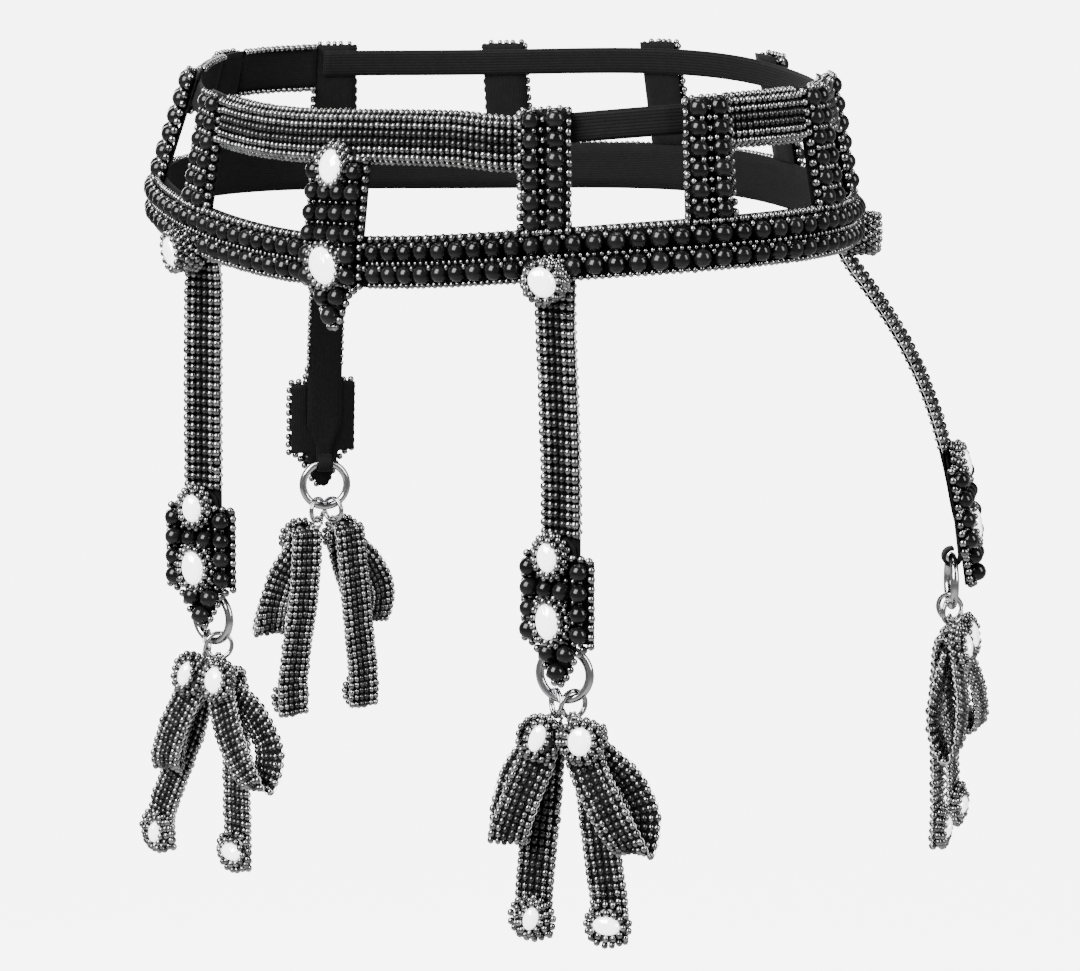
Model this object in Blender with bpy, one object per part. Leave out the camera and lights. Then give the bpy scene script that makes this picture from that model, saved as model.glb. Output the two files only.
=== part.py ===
"""Beaded garter belt, standing open as it is worn.

Two bead bands run round the hips, joined by short upright posts. A pointed tab closes the front.
Four beaded straps hang from the lower band. Each ends in a bead plate with a ribbon loop, a
round ring, and two folded bead bows that hang on split rings.

Frame: metres, +Z up, the front faces -Y and the wearer's left is at +X. The origin is the middle
of the lower band. Lengths along the belt are counted in bead pitches from the front centre,
growing towards the wearer's left.
"""
import math

import bmesh
import bpy
import numpy as np
from mathutils import Matrix, Vector

MM = 0.001
GAP = 0.3 * MM

# Belt line
BEAD_PITCH = 7.25 * MM
BELT_BEADS = 112
BELT_LENGTH = BEAD_PITCH * BELT_BEADS
BELT_TURN = 2.44
HEADING_WAVES = (-0.0135, -0.286, -0.092, 0.052)
CURVE_STEPS = 2400
SIDE_TILT = 0.0114
BACK_TILT = 0.0486
HIP_WAVE = 2.6 * MM
FRONT_WAVE = 2.3 * MM
LEAN = 7.3 * MM
LEAN_BACK = 1.5 * MM
LEAN_HEIGHT = 42.0 * MM
STAND_OFF = 6.5 * MM
STAND_OFF_ANGLE = 0.83
STAND_OFF_SPREAD = 0.3
RIGHT_LEAN = 7.5 * MM
RIGHT_LEAN_ANGLE = -1.1
RIGHT_LEAN_SPREAD = 0.5

# Beads and cloth
BEAD = 6.0 * MM
RIBBON = 1.2 * MM
SEED_LEVEL = 1.2 * MM
RIBBON_FACE = -2.6 * MM
RIBBON_BACK = RIBBON_FACE - RIBBON
BEAD_HALF = 0.46 * BEAD
BEAD_SIDES = 6
ROSETTE_SIDES = 12

# Lower band
BAND_TOP = 5.3 * MM
BAND_MIDDLE = -3.6 * MM
BAND_BOTTOM = -12.5 * MM
BAND_ROW_DROP = 7.25 * MM
FRONT_END = 28
LEFT_SHIFT = 0.4
TAB_HALF = 2
HALF_BEADS = BELT_BEADS // 2

# Posts
POST_SPACING = 8
FIRST_POST = 12
POST_HALF = 8.8 * MM
POST_COLUMN = 3.85 * MM
POST_ROWS = 6
POST_ROW = 6.7 * MM
POST_FOOT = BAND_TOP + GAP
BACK_POST_SPACING = 9.9

# Upper band and elastic
UPPER_LOW = 28.0 * MM
UPPER_HIGH = 45.6 * MM
UPPER_FACE = -1.4 * MM
ELASTIC_LOW = 33.5 * MM
ELASTIC_HIGH = 43.5 * MM
ELASTIC_TUCK = 0.8
PANEL_STEP = 2

# Front tab and garter plates
TAB_OUT = 2.7 * MM
TAB_TOP = 31.6 * MM
TAB_ROSETTE_RISE = 4.8 * MM
TAB_SMALL_ROSETTE = 30.0 * MM
TAB_BIG_ROSETTE_ROWS = (4, 5, 6)
PLATE_BIG_ROSETTE_ROWS = (2, 3, 4)
SHIELD_ROWS = 8
BIG_STONE_HALF = (6.9 * MM, 7.4 * MM)
SMALL_STONE_HALF = 6.4 * MM
COLUMN = 7.2 * MM
ROW = 7.25 * MM
TIP_HALF = 3.7 * MM

# Garters
STRAP_HALF = 7.55 * MM
STRAP_OUT = RIBBON_BACK - 0.7 * MM
STRAP_TOP = 2.0 * MM
STRAP_BEADS_FROM = 13.3 * MM
STRAP_FACE = 1.8 * MM
STRAP_STEP = 12.0 * MM
FACE_RAMP = 0.4 * MM
FLARE_FROM = 14.5 * MM
FLARE_EASE = 8.0 * MM
FLARE_LENGTH = 50.0 * MM
TURN_LENGTH = 90.0 * MM
PLATE_TOP = 107.3 * MM
PLATE_ROSETTE_RISE = 7.0 * MM
LOOP_AXIS = 140.0 * MM
LOOP_RADIUS = 3.65 * MM
LOOP_HALF = 3.0 * MM
LOOP_TAPER_FROM = 124.0 * MM
LOOP_TAPER_TO = 134.0 * MM
LOOP_END_ANGLE = 285.0
LOOP_STEPS = 10
STRAP_TABLE_STEP = 0.5 * MM
STRAP_TABLE_END = 160.0 * MM

# Rings
RING_RADIUS = 9.0 * MM
RING_WIRE = 1.5 * MM
RING_PARTS = (20, 6)
SPLIT_RADIUS = 4.75 * MM
SPLIT_WIRE = 0.6 * MM
SPLIT_HALF = 0.8 * MM
SPLIT_RISE = 2.7 * MM
SPLIT_SIDE = 3.2 * MM
SPLIT_PARTS = (12, 4)

# Bows
BOW_CENTRE = 7.7 * MM
BOW_HALF = 6.2 * MM
BOW_WALL = 2.4 * MM
EYE_RADIUS = 2.1 * MM
EYE_WIRE = 0.8 * MM
EYE_DROP = 7.2 * MM
EYE_PARTS = (8, 4)
BOW_STEPS = 2
BOW_END_HALF = 7.8 * MM
HEAD_LIFT = 0.1

# Rosettes at the strap tops
TOP_ROSETTE_OUT = RIBBON_FACE + BEAD + GAP
TOP_ROSETTE_HEIGHT = -11.5 * MM

# name, place along the belt in beads, outward run and sideways run of the strap, turn of its foot
GARTERS = (
    ("front_right", -12.0, 2.0 * MM, 0.0, 18.0),
    ("front_left", 12.75, 2.0 * MM, 3.0 * MM, 0.0),
    ("rear_left", 36.4, 52.0 * MM, 0.0, 0.0),
    ("rear_right", -36.0, 52.0 * MM, 0.0, 0.0),
)

# garter, letter, side of the ring, sideways drift of the tail, spread of the loop
BOWS = (
    ("front_right", "a", -1, -20.0 * MM, 1.4),
    ("front_right", "b", 1, 3.0 * MM, 1.5),
    ("front_left", "a", -1, -4.0 * MM, 1.0),
    ("front_left", "b", 1, 8.0 * MM, 1.4),
    ("rear_left", "a", -1, -3.0 * MM, 1.0),
    ("rear_left", "b", 1, 3.0 * MM, 1.0),
    ("rear_right", "a", -1, -3.0 * MM, 1.0),
    ("rear_right", "b", 1, 3.0 * MM, 1.0),
)

# The bow's strip: name, sideways from the head, outward, height under the ring, share of drift
BOW_PATH = (
    ("loop_end", 2.0, 0.2, -20.0, 0.0),
    ("back_middle", 8.0, -0.1, -31.0, 0.0),
    ("back_low", 14.5, 0.6, -43.0, 0.0),
    ("loop_foot", 13.8, 4.0, -50.0, 0.0),
    ("front_low", 9.5, 7.2, -45.5, 0.0),
    ("front_middle", 4.0, 6.4, -33.0, 0.0),
    ("head_low", 0.4, 3.8, -22.0, 0.0),
    ("head_top", 0.0, 2.6, -12.4, 0.0),
    ("crown", 0.0, 0.0, -10.0, 0.0),
    ("tail_top", 0.0, -2.6, -12.6, 0.0),
    ("tail_middle", 0.0, -3.0, -35.0, 0.3),
    ("tail_low", 0.0, -1.6, -56.0, 0.7),
    ("end_top", 0.0, -1.0, -72.0, 1.0),
    ("tail_end", 0.0, -1.0, -86.5, 1.0),
)

# Reliefs: rings of points as (share of half width, share of half height, rise), then the top
BEAD_RISE = 0.68 * BEAD - SEED_LEVEL
BEAD_TOP = BEAD - SEED_LEVEL
ROSETTE_RINGS = ((0.95, 0.95, 3.0 * MM), (0.8, 0.8, 5.6 * MM))
ROSETTE_TOP = 6.6 * MM
BOW_ROSETTE_RINGS = ((1.0, 1.05, 1.8 * MM), (0.8, 0.85, 3.6 * MM))
BOW_ROSETTE_TOP = 4.4 * MM
TOP_ROSETTE_RINGS = ((1.0, 1.0, 2.2 * MM), (0.8, 0.8, 5.6 * MM))
TOP_ROSETTE_TOP = 6.8 * MM
TOP_ROSETTE_HALF = 6.6 * MM
TOP_ROSETTE_BASE_HALF = 5.6 * MM
TOP_ROSETTE_BASE = 0.6 * MM


def clear_scene():
    """Remove every object that the scene starts with."""
    for item in list(bpy.data.objects):
        bpy.data.objects.remove(item, do_unlink=True)


def make_material(name, colour, roughness, metallic):
    """Return a Principled material of one colour."""
    material = bpy.data.materials.new(name)
    material.use_nodes = True
    shader = material.node_tree.nodes["Principled BSDF"]
    shader.inputs["Base Color"].default_value = (*colour, 1.0)
    shader.inputs["Roughness"].default_value = roughness
    shader.inputs["Metallic"].default_value = metallic
    material.diffuse_color = (*colour, 1.0)
    return material


def belt_curve():
    """Work out the belt's line from above: its heading turns once round, with four waves."""
    arc = np.linspace(-BELT_LENGTH / 2, BELT_LENGTH / 2, CURVE_STEPS + 1)
    phase = 2 * math.pi * arc / BELT_LENGTH
    heading = phase + sum(
        size * np.sin((order + 1) * phase) for order, size in enumerate(HEADING_WAVES)
    )
    step = arc[1] - arc[0]
    east, north = np.cos(heading), np.sin(heading)
    x = np.concatenate(([0.0], np.cumsum((east[1:] + east[:-1]) / 2))) * step
    y = np.concatenate(([0.0], np.cumsum((north[1:] + north[:-1]) / 2))) * step
    x -= x[CURVE_STEPS // 2]
    y -= (y.min() + y.max()) / 2
    return arc, phase, heading, x, y


ARC, PHASE, HEADING, CURVE_X, CURVE_Y = belt_curve()


def belt_frame(index):
    """Return the belt line's point, outward direction, sideways direction and phase at a bead."""
    arc = (index + BELT_TURN) * BEAD_PITCH
    arc = (arc + BELT_LENGTH / 2) % BELT_LENGTH - BELT_LENGTH / 2
    x = float(np.interp(arc, ARC, CURVE_X))
    y = float(np.interp(arc, ARC, CURVE_Y))
    heading = float(np.interp(arc, ARC, HEADING))
    phase = float(np.interp(arc, ARC, PHASE))
    rise = SIDE_TILT * x + BACK_TILT * y
    rise -= HIP_WAVE * math.cos(2 * phase) + FRONT_WAVE * math.cos(3 * phase)
    outward = Vector((math.sin(heading), -math.cos(heading), 0.0))
    sideways = Vector((math.cos(heading), math.sin(heading), 0.0))
    return Vector((x, y, rise)), outward, sideways, phase


def lean_at(phase):
    """How far inward the belt leans at LEAN_HEIGHT."""
    straight = math.exp(-((phase - STAND_OFF_ANGLE) / STAND_OFF_SPREAD) ** 2)
    right = math.exp(-((phase - RIGHT_LEAN_ANGLE) / RIGHT_LEAN_SPREAD) ** 2)
    return LEAN - LEAN_BACK * math.cos(phase) - STAND_OFF * straight + RIGHT_LEAN * right


def belt_point(index, height, out):
    """A point of the belt: beads along it, metres above the upper bead row, metres outward."""
    point, outward, _, phase = belt_frame(index)
    lean = math.asin(lean_at(phase) / LEAN_HEIGHT) if height > 0 else 0.0
    return point + outward * (out - height * math.sin(lean)) + Vector(
        (0.0, 0.0, height * math.cos(lean)))


def loft_between(faces, outer, inner):
    """Close the strip between two loops of points that run the same way round."""
    def from_lowest_angle(loop):
        angles = [math.atan2(v - centre[1], u - centre[0]) for u, v, _ in loop]
        start = angles.index(min(angles))
        angles = angles[start:] + angles[:start]
        return loop[start:] + loop[:start], angles + [angles[0] + 2 * math.pi]

    centre = [sum(point[k] for point in inner) / len(inner) for k in (0, 1)]
    outer, outer_angle = from_lowest_angle(outer)
    inner, inner_angle = from_lowest_angle(inner)
    i = j = 0
    while i < len(outer) or j < len(inner):
        a, b = outer[i % len(outer)][2], inner[j % len(inner)][2]
        take_outer = j == len(inner) or (i < len(outer) and outer_angle[i + 1] < inner_angle[j + 1])
        if take_outer:
            faces.append((a, outer[(i + 1) % len(outer)][2], b))
            i += 1
        else:
            faces.append((a, inner[(j + 1) % len(inner)][2], b))
            j += 1


class Panel:
    """A closed wall whose outline is patches in its own two directions, with raised beads."""

    def __init__(self, at, back, face):
        self.at = at
        self.back = back if callable(back) else lambda v: back
        self.face = face if callable(face) else lambda v: face
        self.points = []
        self.faces = []
        self.corners = {}
        self.edges = {}

    def add_point(self, u, v, out):
        """Store a point and return its number."""
        self.points.append(self.at(u, v, out))
        return len(self.points) - 1

    def corner(self, u, v):
        """Return the front and back points of an outline corner, made once."""
        key = (round(u, 7), round(v, 7))
        if key not in self.corners:
            front = self.add_point(u, v, self.face(v))
            rear = self.add_point(u, v, self.back(v))
            self.corners[key] = (front, rear)
        return self.corners[key]

    def relief(self, outline, centre, half, rings, top, sides, rear=False):
        """Raise a bead or rosette on a patch: rings of points and a top, joined to the outline."""
        level = self.back if rear else self.face
        sign = -1.0 if rear else 1.0
        side = 1 if rear else 0
        base = level(centre[1])
        loop = [(u, v, self.corner(u, v)[side]) for u, v in outline]
        faces = []
        for wide, tall, rise in rings:
            ring = []
            for k in range(sides):
                angle = 2 * math.pi * k / sides
                u = centre[0] + half[0] * wide * math.cos(angle)
                v = centre[1] + half[1] * tall * math.sin(angle)
                ring.append((u, v, self.add_point(u, v, base + sign * rise)))
            loft_between(faces, loop, ring)
            loop = ring
        peak = self.add_point(centre[0], centre[1], base + sign * top)
        for k in range(sides):
            faces.append((loop[k][2], loop[(k + 1) % sides][2], peak))
        self.faces += [tuple(reversed(f)) for f in faces] if rear else faces

    def patch(self, outline, relief=None, rear_relief=None):
        """Add a patch. Its outline runs anticlockwise, seen from the front."""
        numbers = [self.corner(u, v) for u, v in outline]
        if relief:
            self.relief(outline, *relief)
        else:
            self.faces.append(tuple(front for front, _ in numbers))
        if rear_relief:
            self.relief(outline, *rear_relief, rear=True)
        else:
            self.faces.append(tuple(rear for _, rear in reversed(numbers)))
        for a, b in zip(numbers, numbers[1:] + numbers[:1]):
            if (b, a) in self.edges:
                del self.edges[(b, a)]
            else:
                self.edges[(a, b)] = True

    def cell(self, u0, u1, v0, v1, relief=None):
        """Add a four-cornered patch."""
        self.patch([(u0, v0), (u1, v0), (u1, v1), (u0, v1)], relief)

    def build(self, name, material):
        """Close the rim and make the object."""
        for (front_a, rear_a), (front_b, rear_b) in self.edges:
            self.faces.append((front_b, front_a, rear_a, rear_b))
        mesh = bpy.data.meshes.new(name)
        work = bmesh.new()
        vertices = [work.verts.new(point) for point in self.points]
        for face in self.faces:
            work.faces.new([vertices[k] for k in face])
        bmesh.ops.triangulate(work, faces=work.faces[:])
        bmesh.ops.recalc_face_normals(work, faces=work.faces[:])
        work.to_mesh(mesh)
        work.free()
        return add_object(name, mesh, material)


def add_object(name, mesh, material):
    """Put a mesh into the scene as one named object with one material."""
    mesh.materials.append(material)
    item = bpy.data.objects.new(name, mesh)
    bpy.context.scene.collection.objects.link(item)
    return item


def bead(u, v, half_u=BEAD_HALF):
    """The relief of one large bead."""
    return ((u, v), (half_u, BEAD_HALF), ((1.0, 1.0, BEAD_RISE),), BEAD_TOP, BEAD_SIDES)


def rosette(u, v, half_u, half_v, rings=ROSETTE_RINGS, top=ROSETTE_TOP):
    """The relief of an oval stone in its bezel of small beads."""
    return ((u, v), (half_u, half_v), rings, top, ROSETTE_SIDES)


def lower_band(name, starts, plain, material):
    """A stretch of the lower band: two rows of large beads, flat where the tab lies on it."""
    panel = Panel(belt_point, RIBBON_BACK, RIBBON_FACE + SEED_LEVEL)
    half = BEAD_HALF / BEAD_PITCH
    for left, right in zip(starts, starts[1:]):
        middle = (left + right) / 2
        flat = plain[0] <= middle <= plain[1]
        for low, high, row in ((BAND_BOTTOM, BAND_MIDDLE, -BAND_ROW_DROP),
                               (BAND_MIDDLE, BAND_TOP, 0.0)):
            relief = None if flat else bead(middle, row, half)
            panel.cell(left, right, low, high, relief)
    return panel.build(name, material)


def post(name, index, material):
    """An upright post: two columns of six large beads."""
    def at(u, v, out):
        return belt_point(index + u / BEAD_PITCH, v, out)

    panel = Panel(at, RIBBON_BACK, RIBBON_FACE + SEED_LEVEL)
    for row in range(POST_ROWS):
        low = POST_FOOT + row * POST_ROW
        high = low + POST_ROW
        middle = (low + high) / 2
        panel.cell(-POST_HALF, 0.0, low, high, bead(-POST_COLUMN, middle))
        panel.cell(0.0, POST_HALF, low, high, bead(POST_COLUMN, middle))
    return panel.build(name, material)


def strip(name, start, end, low, high, back, face, material):
    """A plain strip along the belt, from one bead number to another."""
    panel = Panel(belt_point, back, face)
    count = max(2, round((end - start) / PANEL_STEP))
    stops = np.linspace(start, end, count + 1)
    for left, right in zip(stops, stops[1:]):
        panel.cell(float(left), float(right), low, high)
    return panel.build(name, material)


def bead_shield(panel, top, rise, small_centre, big_rows):
    """The tab's and plates' face: four bead columns, two rosettes, and a tip of three beads."""
    inner, outer = COLUMN, 2 * COLUMN
    rows = [top - ROW * k for k in range(SHIELD_ROWS)]
    panel.patch(
        [(-inner, rows[1]), (0.0, rows[1]), (inner, rows[1]), (inner, rows[0]),
         (inner, rows[0] + rise), (-inner, rows[0] + rise), (-inner, rows[0])],
        rosette(0.0, small_centre, SMALL_STONE_HALF, (rise + ROW + SEED_LEVEL) / 2))
    big_top, big_middle, big_low = big_rows
    panel.patch(
        [(-inner, rows[big_low]), (0.0, rows[big_low]), (inner, rows[big_low]),
         (inner, rows[big_middle]), (inner, rows[big_top]), (0.0, rows[big_top]),
         (-inner, rows[big_top]), (-inner, rows[big_middle])],
        rosette(0.0, rows[big_middle], *BIG_STONE_HALF))
    for row in range(big_low):
        high, low = rows[row], rows[row + 1]
        middle = (high + low) / 2
        panel.cell(-outer, -inner, low, high, bead((-outer - inner) / 2, middle))
        panel.cell(inner, outer, low, high, bead((outer + inner) / 2, middle))
        if 0 < row < big_top:
            panel.cell(-inner, 0.0, low, high, bead(-inner / 2, middle))
            panel.cell(0.0, inner, low, high, bead(inner / 2, middle))
    high, low = rows[big_low], rows[big_low] - ROW
    panel.cell(-inner, 0.0, low, high, bead(-inner / 2, (high + low) / 2))
    panel.cell(0.0, inner, low, high, bead(inner / 2, (high + low) / 2))
    foot = low - ROW
    panel.patch(
        [(-inner, low), (-TIP_HALF, foot), (TIP_HALF, foot), (inner, low), (0.0, low)],
        bead(0.0, (low + foot) / 2))


def front_tab(material):
    """The pointed tab at the front centre, over both bands."""
    def at(u, v, out):
        return belt_point(LEFT_SHIFT / 2 + u / BEAD_PITCH, v, out + TAB_OUT)

    panel = Panel(at, RIBBON_BACK, RIBBON_FACE + SEED_LEVEL)
    bead_shield(panel, TAB_TOP, TAB_ROSETTE_RISE, TAB_SMALL_ROSETTE, TAB_BIG_ROSETTE_ROWS)
    return panel.build("front_tab", material)


class Garter:
    """The line that one garter hangs on, from the belt to its ring."""

    def __init__(self, index, flare, drift, turn):
        self.top, self.outward, self.sideways, _ = belt_frame(index)
        self.drift, self.turn = drift, math.radians(turn)
        drop = np.arange(0.0, STRAP_TABLE_END, STRAP_TABLE_STEP)
        hanging = np.maximum(drop - FLARE_FROM, 0.0)
        out = flare * (1 - np.exp(-hanging ** 2 / (hanging + FLARE_EASE) / FLARE_LENGTH))
        run = np.hypot(np.diff(drop), np.diff(out))
        self.arc = np.concatenate(([0.0], np.cumsum(run)))
        self.drop, self.out = drop, out

    def frame(self, arc):
        """Point, sideways, upward and outward directions on the strap's face at a length down it."""
        near, far = arc - STRAP_TABLE_STEP, arc + STRAP_TABLE_STEP
        point, above, below = (self.place(a) for a in (arc, near, far))
        angle = self.turn * self.share(arc)
        sideways = self.sideways.copy()
        sideways.rotate(Matrix.Rotation(angle, 3, "Z"))
        upward = (above - below).normalized()
        upward = (upward - sideways * upward.dot(sideways)).normalized()
        return point, sideways, upward, sideways.cross(upward)

    def share(self, arc):
        """How much of the turn and sideways run is reached at a length down the strap."""
        share = min(max(arc / TURN_LENGTH, 0.0), 1.0)
        return share * share * (3 - 2 * share)

    def place(self, arc):
        """Point on the strap's face."""
        drop = float(np.interp(arc, self.arc, self.drop))
        out = float(np.interp(arc, self.arc, self.out))
        across = self.sideways * (self.drift * self.share(arc))
        return self.top + across + self.outward * (STRAP_OUT + out) - Vector((0.0, 0.0, drop))

    def on_strap(self, u, v, out):
        """Strap surface: u from -1 to 1 across, v the negative length down, round the loop."""
        arc = -v
        if arc <= LOOP_AXIS:
            point, sideways, upward, outward = self.frame(arc)
        else:
            foot, sideways, lift, face = self.frame(LOOP_AXIS)
            angle = (arc - LOOP_AXIS) / LOOP_RADIUS
            outward = face * math.cos(angle) - lift * math.sin(angle)
            point = foot + (outward - face) * LOOP_RADIUS
        return point + sideways * (u * self.half_width(arc)) + outward * out

    def half_width(self, arc):
        """The ribbon narrows to its loop."""
        share = (arc - LOOP_TAPER_FROM) / (LOOP_TAPER_TO - LOOP_TAPER_FROM)
        return STRAP_HALF + (LOOP_HALF - STRAP_HALF) * min(max(share, 0.0), 1.0)

    def on_plate(self, u, v, out):
        """Plate surface: u across, v the negative length down, without the loop."""
        point, sideways, _, outward = self.frame(-v)
        return point + sideways * u + outward * out

    def hinge(self):
        """The loop's middle, with level sideways and outward directions."""
        foot, sideways, _, face = self.frame(LOOP_AXIS)
        axis = foot - face * LOOP_RADIUS
        return axis, sideways, sideways.cross(Vector((0.0, 0.0, 1.0)))


def garter_strap(name, garter, material):
    """The ribbon strap: beaded down to the plate, bare behind it, then the loop."""
    bare_again = PLATE_TOP - PLATE_ROSETTE_RISE - GAP

    def face(v):
        rise = (-v - STRAP_BEADS_FROM) / FACE_RAMP
        fall = (bare_again + v) / FACE_RAMP
        return STRAP_FACE * min(max(min(rise, fall), 0.0), 1.0)

    loop_length = math.radians(LOOP_END_ANGLE) * LOOP_RADIUS
    beads = np.linspace(STRAP_BEADS_FROM + FACE_RAMP, bare_again - FACE_RAMP,
                        round((bare_again - STRAP_BEADS_FROM) / STRAP_STEP) + 1)
    loop = np.linspace(LOOP_AXIS, LOOP_AXIS + loop_length, LOOP_STEPS + 1)
    stops = [STRAP_TOP, STRAP_BEADS_FROM, *beads, bare_again, LOOP_TAPER_FROM, LOOP_TAPER_TO, *loop]
    panel = Panel(garter.on_strap, -RIBBON, face)
    for high, low in zip(stops, stops[1:]):
        panel.cell(-1.0, 1.0, -float(low), -float(high))
    return panel.build(name, material)


def garter_plate(name, garter, material):
    """The bead plate in front of the strap's foot."""
    panel = Panel(garter.on_plate, GAP, GAP + RIBBON + SEED_LEVEL)
    bead_shield(panel, -PLATE_TOP, PLATE_ROSETTE_RISE, -PLATE_TOP + SEED_LEVEL / 2,
                PLATE_BIG_ROSETTE_ROWS)
    return panel.build(name, material)


def top_rosette(name, index, material):
    """The bezelled stone where a strap meets the lower band."""
    def at(u, v, out):
        return belt_point(index + u / BEAD_PITCH, TOP_ROSETTE_HEIGHT + v, out)

    side = TOP_ROSETTE_BASE_HALF
    panel = Panel(at, TOP_ROSETTE_OUT, TOP_ROSETTE_OUT + TOP_ROSETTE_BASE)
    cut = side * math.tan(math.pi / 8)
    outline = [(-cut, -side), (cut, -side), (side, -cut), (side, cut),
               (cut, side), (-cut, side), (-side, cut), (-side, -cut)]
    panel.patch(outline, rosette(0.0, 0.0, TOP_ROSETTE_HALF, TOP_ROSETTE_HALF,
                                 TOP_ROSETTE_RINGS, TOP_ROSETTE_TOP))
    return panel.build(name, material)


def wire_ring(name, centre, axis, radius, wire, parts, material):
    """A ring of wire: an oval section carried round a circle about an axis."""
    radial, axial = wire
    around, section = parts
    mesh = bpy.data.meshes.new(name)
    work = bmesh.new()
    rows = []
    first = axis.orthogonal().normalized()
    second = axis.cross(first)
    for k in range(around):
        turn = 2 * math.pi * k / around
        spoke = first * math.cos(turn) + second * math.sin(turn)
        row = []
        for m in range(section):
            angle = 2 * math.pi * m / section
            point = centre + spoke * (radius + radial * math.cos(angle))
            row.append(work.verts.new(point + axis * (axial * math.sin(angle))))
        rows.append(row)
    for k in range(around):
        near, far = rows[k], rows[(k + 1) % around]
        for m in range(section):
            n = (m + 1) % section
            work.faces.new((near[m], near[n], far[n], far[m]))
    bmesh.ops.triangulate(work, faces=work.faces[:])
    bmesh.ops.recalc_face_normals(work, faces=work.faces[:])
    work.to_mesh(mesh)
    work.free()
    return add_object(name, mesh, material)


def smooth_path(points, steps):
    """Points on a smooth curve through the given ones, with steps parts between each pair."""
    points = np.array(points)
    padded = np.vstack((2 * points[0] - points[1], points, 2 * points[-1] - points[-2]))
    share = np.linspace(0.0, 1.0, steps, endpoint=False)[:, None]
    stretches = []
    for k in range(1, len(padded) - 2):
        before, start, end, after = padded[k - 1:k + 3]
        stretches.append(0.5 * (2 * start + (end - before) * share
                                + (2 * before - 5 * start + 4 * end - after) * share ** 2
                                + (3 * start - before - 3 * end + after) * share ** 3))
    stretches.append(points[-1:])
    return np.vstack(stretches)


def bow(name, pivot, sideways, outward, side, drift, spread, material):
    """A folded bead strip with its loop, head rosette, tail and end rosette, and a bead eye."""
    up = Vector((0.0, 0.0, 1.0))
    head = side * (BOW_CENTRE - SPLIT_SIDE)
    keys = [(head + side * x * spread * MM + share * drift, y * MM, z * MM)
            for _, x, y, z, share in BOW_PATH]
    names = [row[0] for row in BOW_PATH]
    curve = smooth_path(keys, BOW_STEPS)
    stations = len(curve)

    def frame(v):
        at = [float(np.interp(v, range(stations), curve[:, k])) for k in range(3)]
        ahead = [float(np.interp(v + 0.5, range(stations), curve[:, k])) for k in range(3)]
        behind = [float(np.interp(v - 0.5, range(stations), curve[:, k])) for k in range(3)]
        run = [a - b for a, b in zip(ahead, behind)]
        along = (sideways * run[0] + outward * run[1] + up * run[2]).normalized()
        across = (sideways - along * sideways.dot(along)).normalized()
        point = pivot + sideways * at[0] + outward * at[1] + up * at[2]
        return point, across, along

    def at(u, v, out):
        point, across, along = frame(v)
        return point + across * u + across.cross(along) * out

    def station(key):
        return names.index(key) * BOW_STEPS

    panel = Panel(at, -BOW_WALL / 2, BOW_WALL / 2)
    head_low, head_top = station("head_low"), station("head_top")
    end_top, tail_end = station("end_top"), station("tail_end")
    stops = [k for k in range(stations)
             if not head_low < k < head_top and not end_top < k < tail_end]
    for low, high in zip(stops, stops[1:]):
        middle, half = (low + high) / 2, (high - low) / 2
        outline = [(-BOW_HALF, low), (BOW_HALF, low), (BOW_HALF, high), (-BOW_HALF, high)]
        if low == head_low:
            panel.patch(outline, rosette(0.0, middle + HEAD_LIFT * half, BOW_HALF, half,
                                         BOW_ROSETTE_RINGS, BOW_ROSETTE_TOP))
        elif low == end_top:
            panel.patch(outline, None, rosette(0.0, middle, BOW_END_HALF, half,
                                               BOW_ROSETTE_RINGS, BOW_ROSETTE_TOP))
        else:
            panel.patch(outline)
    item = panel.build(name, material)
    eye = wire_ring(name + "_eye", pivot - up * EYE_DROP, outward, EYE_RADIUS,
                    (EYE_WIRE, EYE_WIRE), EYE_PARTS, material)
    union = item.modifiers.new("eye", "BOOLEAN")
    union.operation = "UNION"
    union.solver = "EXACT"
    union.object = eye
    eye.hide_render = True
    eye.display_type = "WIRE"
    return item


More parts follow.
